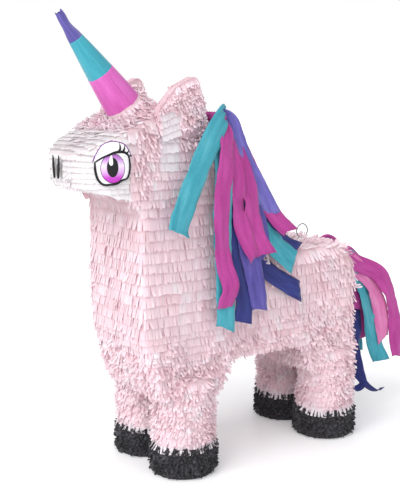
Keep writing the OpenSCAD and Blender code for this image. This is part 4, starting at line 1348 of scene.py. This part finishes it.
def make_stage():
    """A pale floor with a painted glow that grows with distance until it reads as white, a soft key light and
    an even surround.
    """
    size = 14.0
    corners = np.array([[-size, -size, 0], [size, -size, 0], [size, size, 0], [-size, size, 0]])
    material, tree, shader = new_material("floor")
    shader.inputs["Base Color"].default_value = (0.90, 0.90, 0.905, 1)
    surface(shader, 0.32, 0.35)
    place = tree.nodes.new("ShaderNodeTexCoord").outputs["Object"]
    length = node(tree, "ShaderNodeVectorMath", operation="LENGTH")
    tree.links.new(place, length.inputs[0])
    # painted light: the floor's emission, faint near the object to lift its shadows and stronger further out
    # so the floor fades to white
    floor_glow = node(tree, "ShaderNodeMapRange")
    floor_glow.inputs["From Min"].default_value = 0.25
    floor_glow.inputs["From Max"].default_value = 1.6
    floor_glow.inputs["To Min"].default_value = 0.17
    floor_glow.inputs["To Max"].default_value = 0.42
    tree.links.new(length.outputs["Value"], floor_glow.inputs["Value"])
    shader.inputs["Emission Color"].default_value = (1, 1, 1, 1)
    tree.links.new(floor_glow.outputs[0], shader.inputs["Emission Strength"])
    floor = make_object("floor", corners, [(0, 1, 2, 3)], [material], False)

    world = bpy.data.worlds.new("studio")
    bpy.context.scene.world = world
    world.use_nodes = True
    tree = world.node_tree
    tree.nodes["Background"].inputs[0].default_value = (0.97, 0.98, 1.0, 1)
    tree.nodes["Background"].inputs[1].default_value = 0.66
    seen = node(tree, "ShaderNodeBackground")
    seen.inputs[0].default_value = (1, 1, 1, 1)
    seen.inputs[1].default_value = 1.0
    rays = tree.nodes.new("ShaderNodeLightPath")
    mixed = node(tree, "ShaderNodeMixShader")
    tree.links.new(rays.outputs["Is Camera Ray"], mixed.inputs[0])
    tree.links.new(tree.nodes["Background"].outputs[0], mixed.inputs[1])
    tree.links.new(seen.outputs[0], mixed.inputs[2])
    tree.links.new(mixed.outputs[0], tree.nodes["World Output"].inputs[0])

    for name, way, strength, soft in (
        ("key", (0.20, -0.74, 0.64), 2.3, 48),
        ("fill", (0.85, -0.20, 0.48), 0.55, 60),
    ):
        data = bpy.data.lights.new(name, "SUN")
        data.energy = strength
        data.angle = math.radians(soft)
        light = bpy.data.objects.new(name, data)
        light.rotation_mode = "QUATERNION"
        light.rotation_quaternion = Vector(way).to_track_quat("Z", "Y")
        bpy.context.scene.collection.objects.link(light)
    bpy.context.scene.view_settings.view_transform = "Standard"


# ---- Put together ----

make_camera()
make_stage()

for cad_node, fringe in dress_skin().items():
    white = cad_node == "muzzle_tissue"
    piece = fringe.build(cad_node.replace("tissue", "fringe"), WHITE_TISSUE if white else PINK_TISSUE)
    settle(piece, "shell", "white_tissue" if white else "pink_tissue", cad_node)
for name in LEG_NAMES:
    settle(dress_hoof(name), "shell", "black_tissue", f"{name}_hoof_tissue")
for side, name in ((1, "left"), (-1, "right")):
    settle(dress_ear(side), "shell", "pink_tissue", f"{name}_ear_tissue")
    settle(make_eye(side), "shell", "eye_print", f"{name}_eye_sticker")
settle(dress_flap(), "fill_flap", "pink_tissue", "fill_flap_tissue")
settle(make_nostrils(), "shell", "black_print", "nostril_stickers")
for layer, k_from, k_to, look, lift, thick, slot, cad_node in (
    ("magenta", HORN_MAGENTA_FROM, 1.0, HORN_MAGENTA, WRAP, 0.35 * MM, "magenta_crepe", "horn_magenta_wrap"),
    ("teal", HORN_TEAL_FROM, HORN_MAGENTA_FROM + 0.01, HORN_TEAL, 0.3 * MM, 0.35 * MM, "teal_crepe",
     "horn_teal_wrap"),
    ("purple", 0.0, HORN_TEAL_FROM + 0.01, HORN_PURPLE, 0.15 * MM, 0.35 * MM, "purple_crepe",
     "horn_purple_wrap"),
    ("liner", 0.02, 1.0, HORN_PAPER, -0.4 * MM, 0.8 * MM, "horn_paper", "horn_cone"),
):
    piece = horn_piece(f"horn_{layer}", k_from, k_to, look, lift, thick)
    settle(piece, "shell", slot, cad_node)
make_tie("mane_knot", "mane_tie", "shell", 6.2 * MM, 11)
make_tie("tail_knot", "tail_tie", "tail", 7.2 * MM, 9)
make_mane()
make_tail()
finish_cad_nodes()
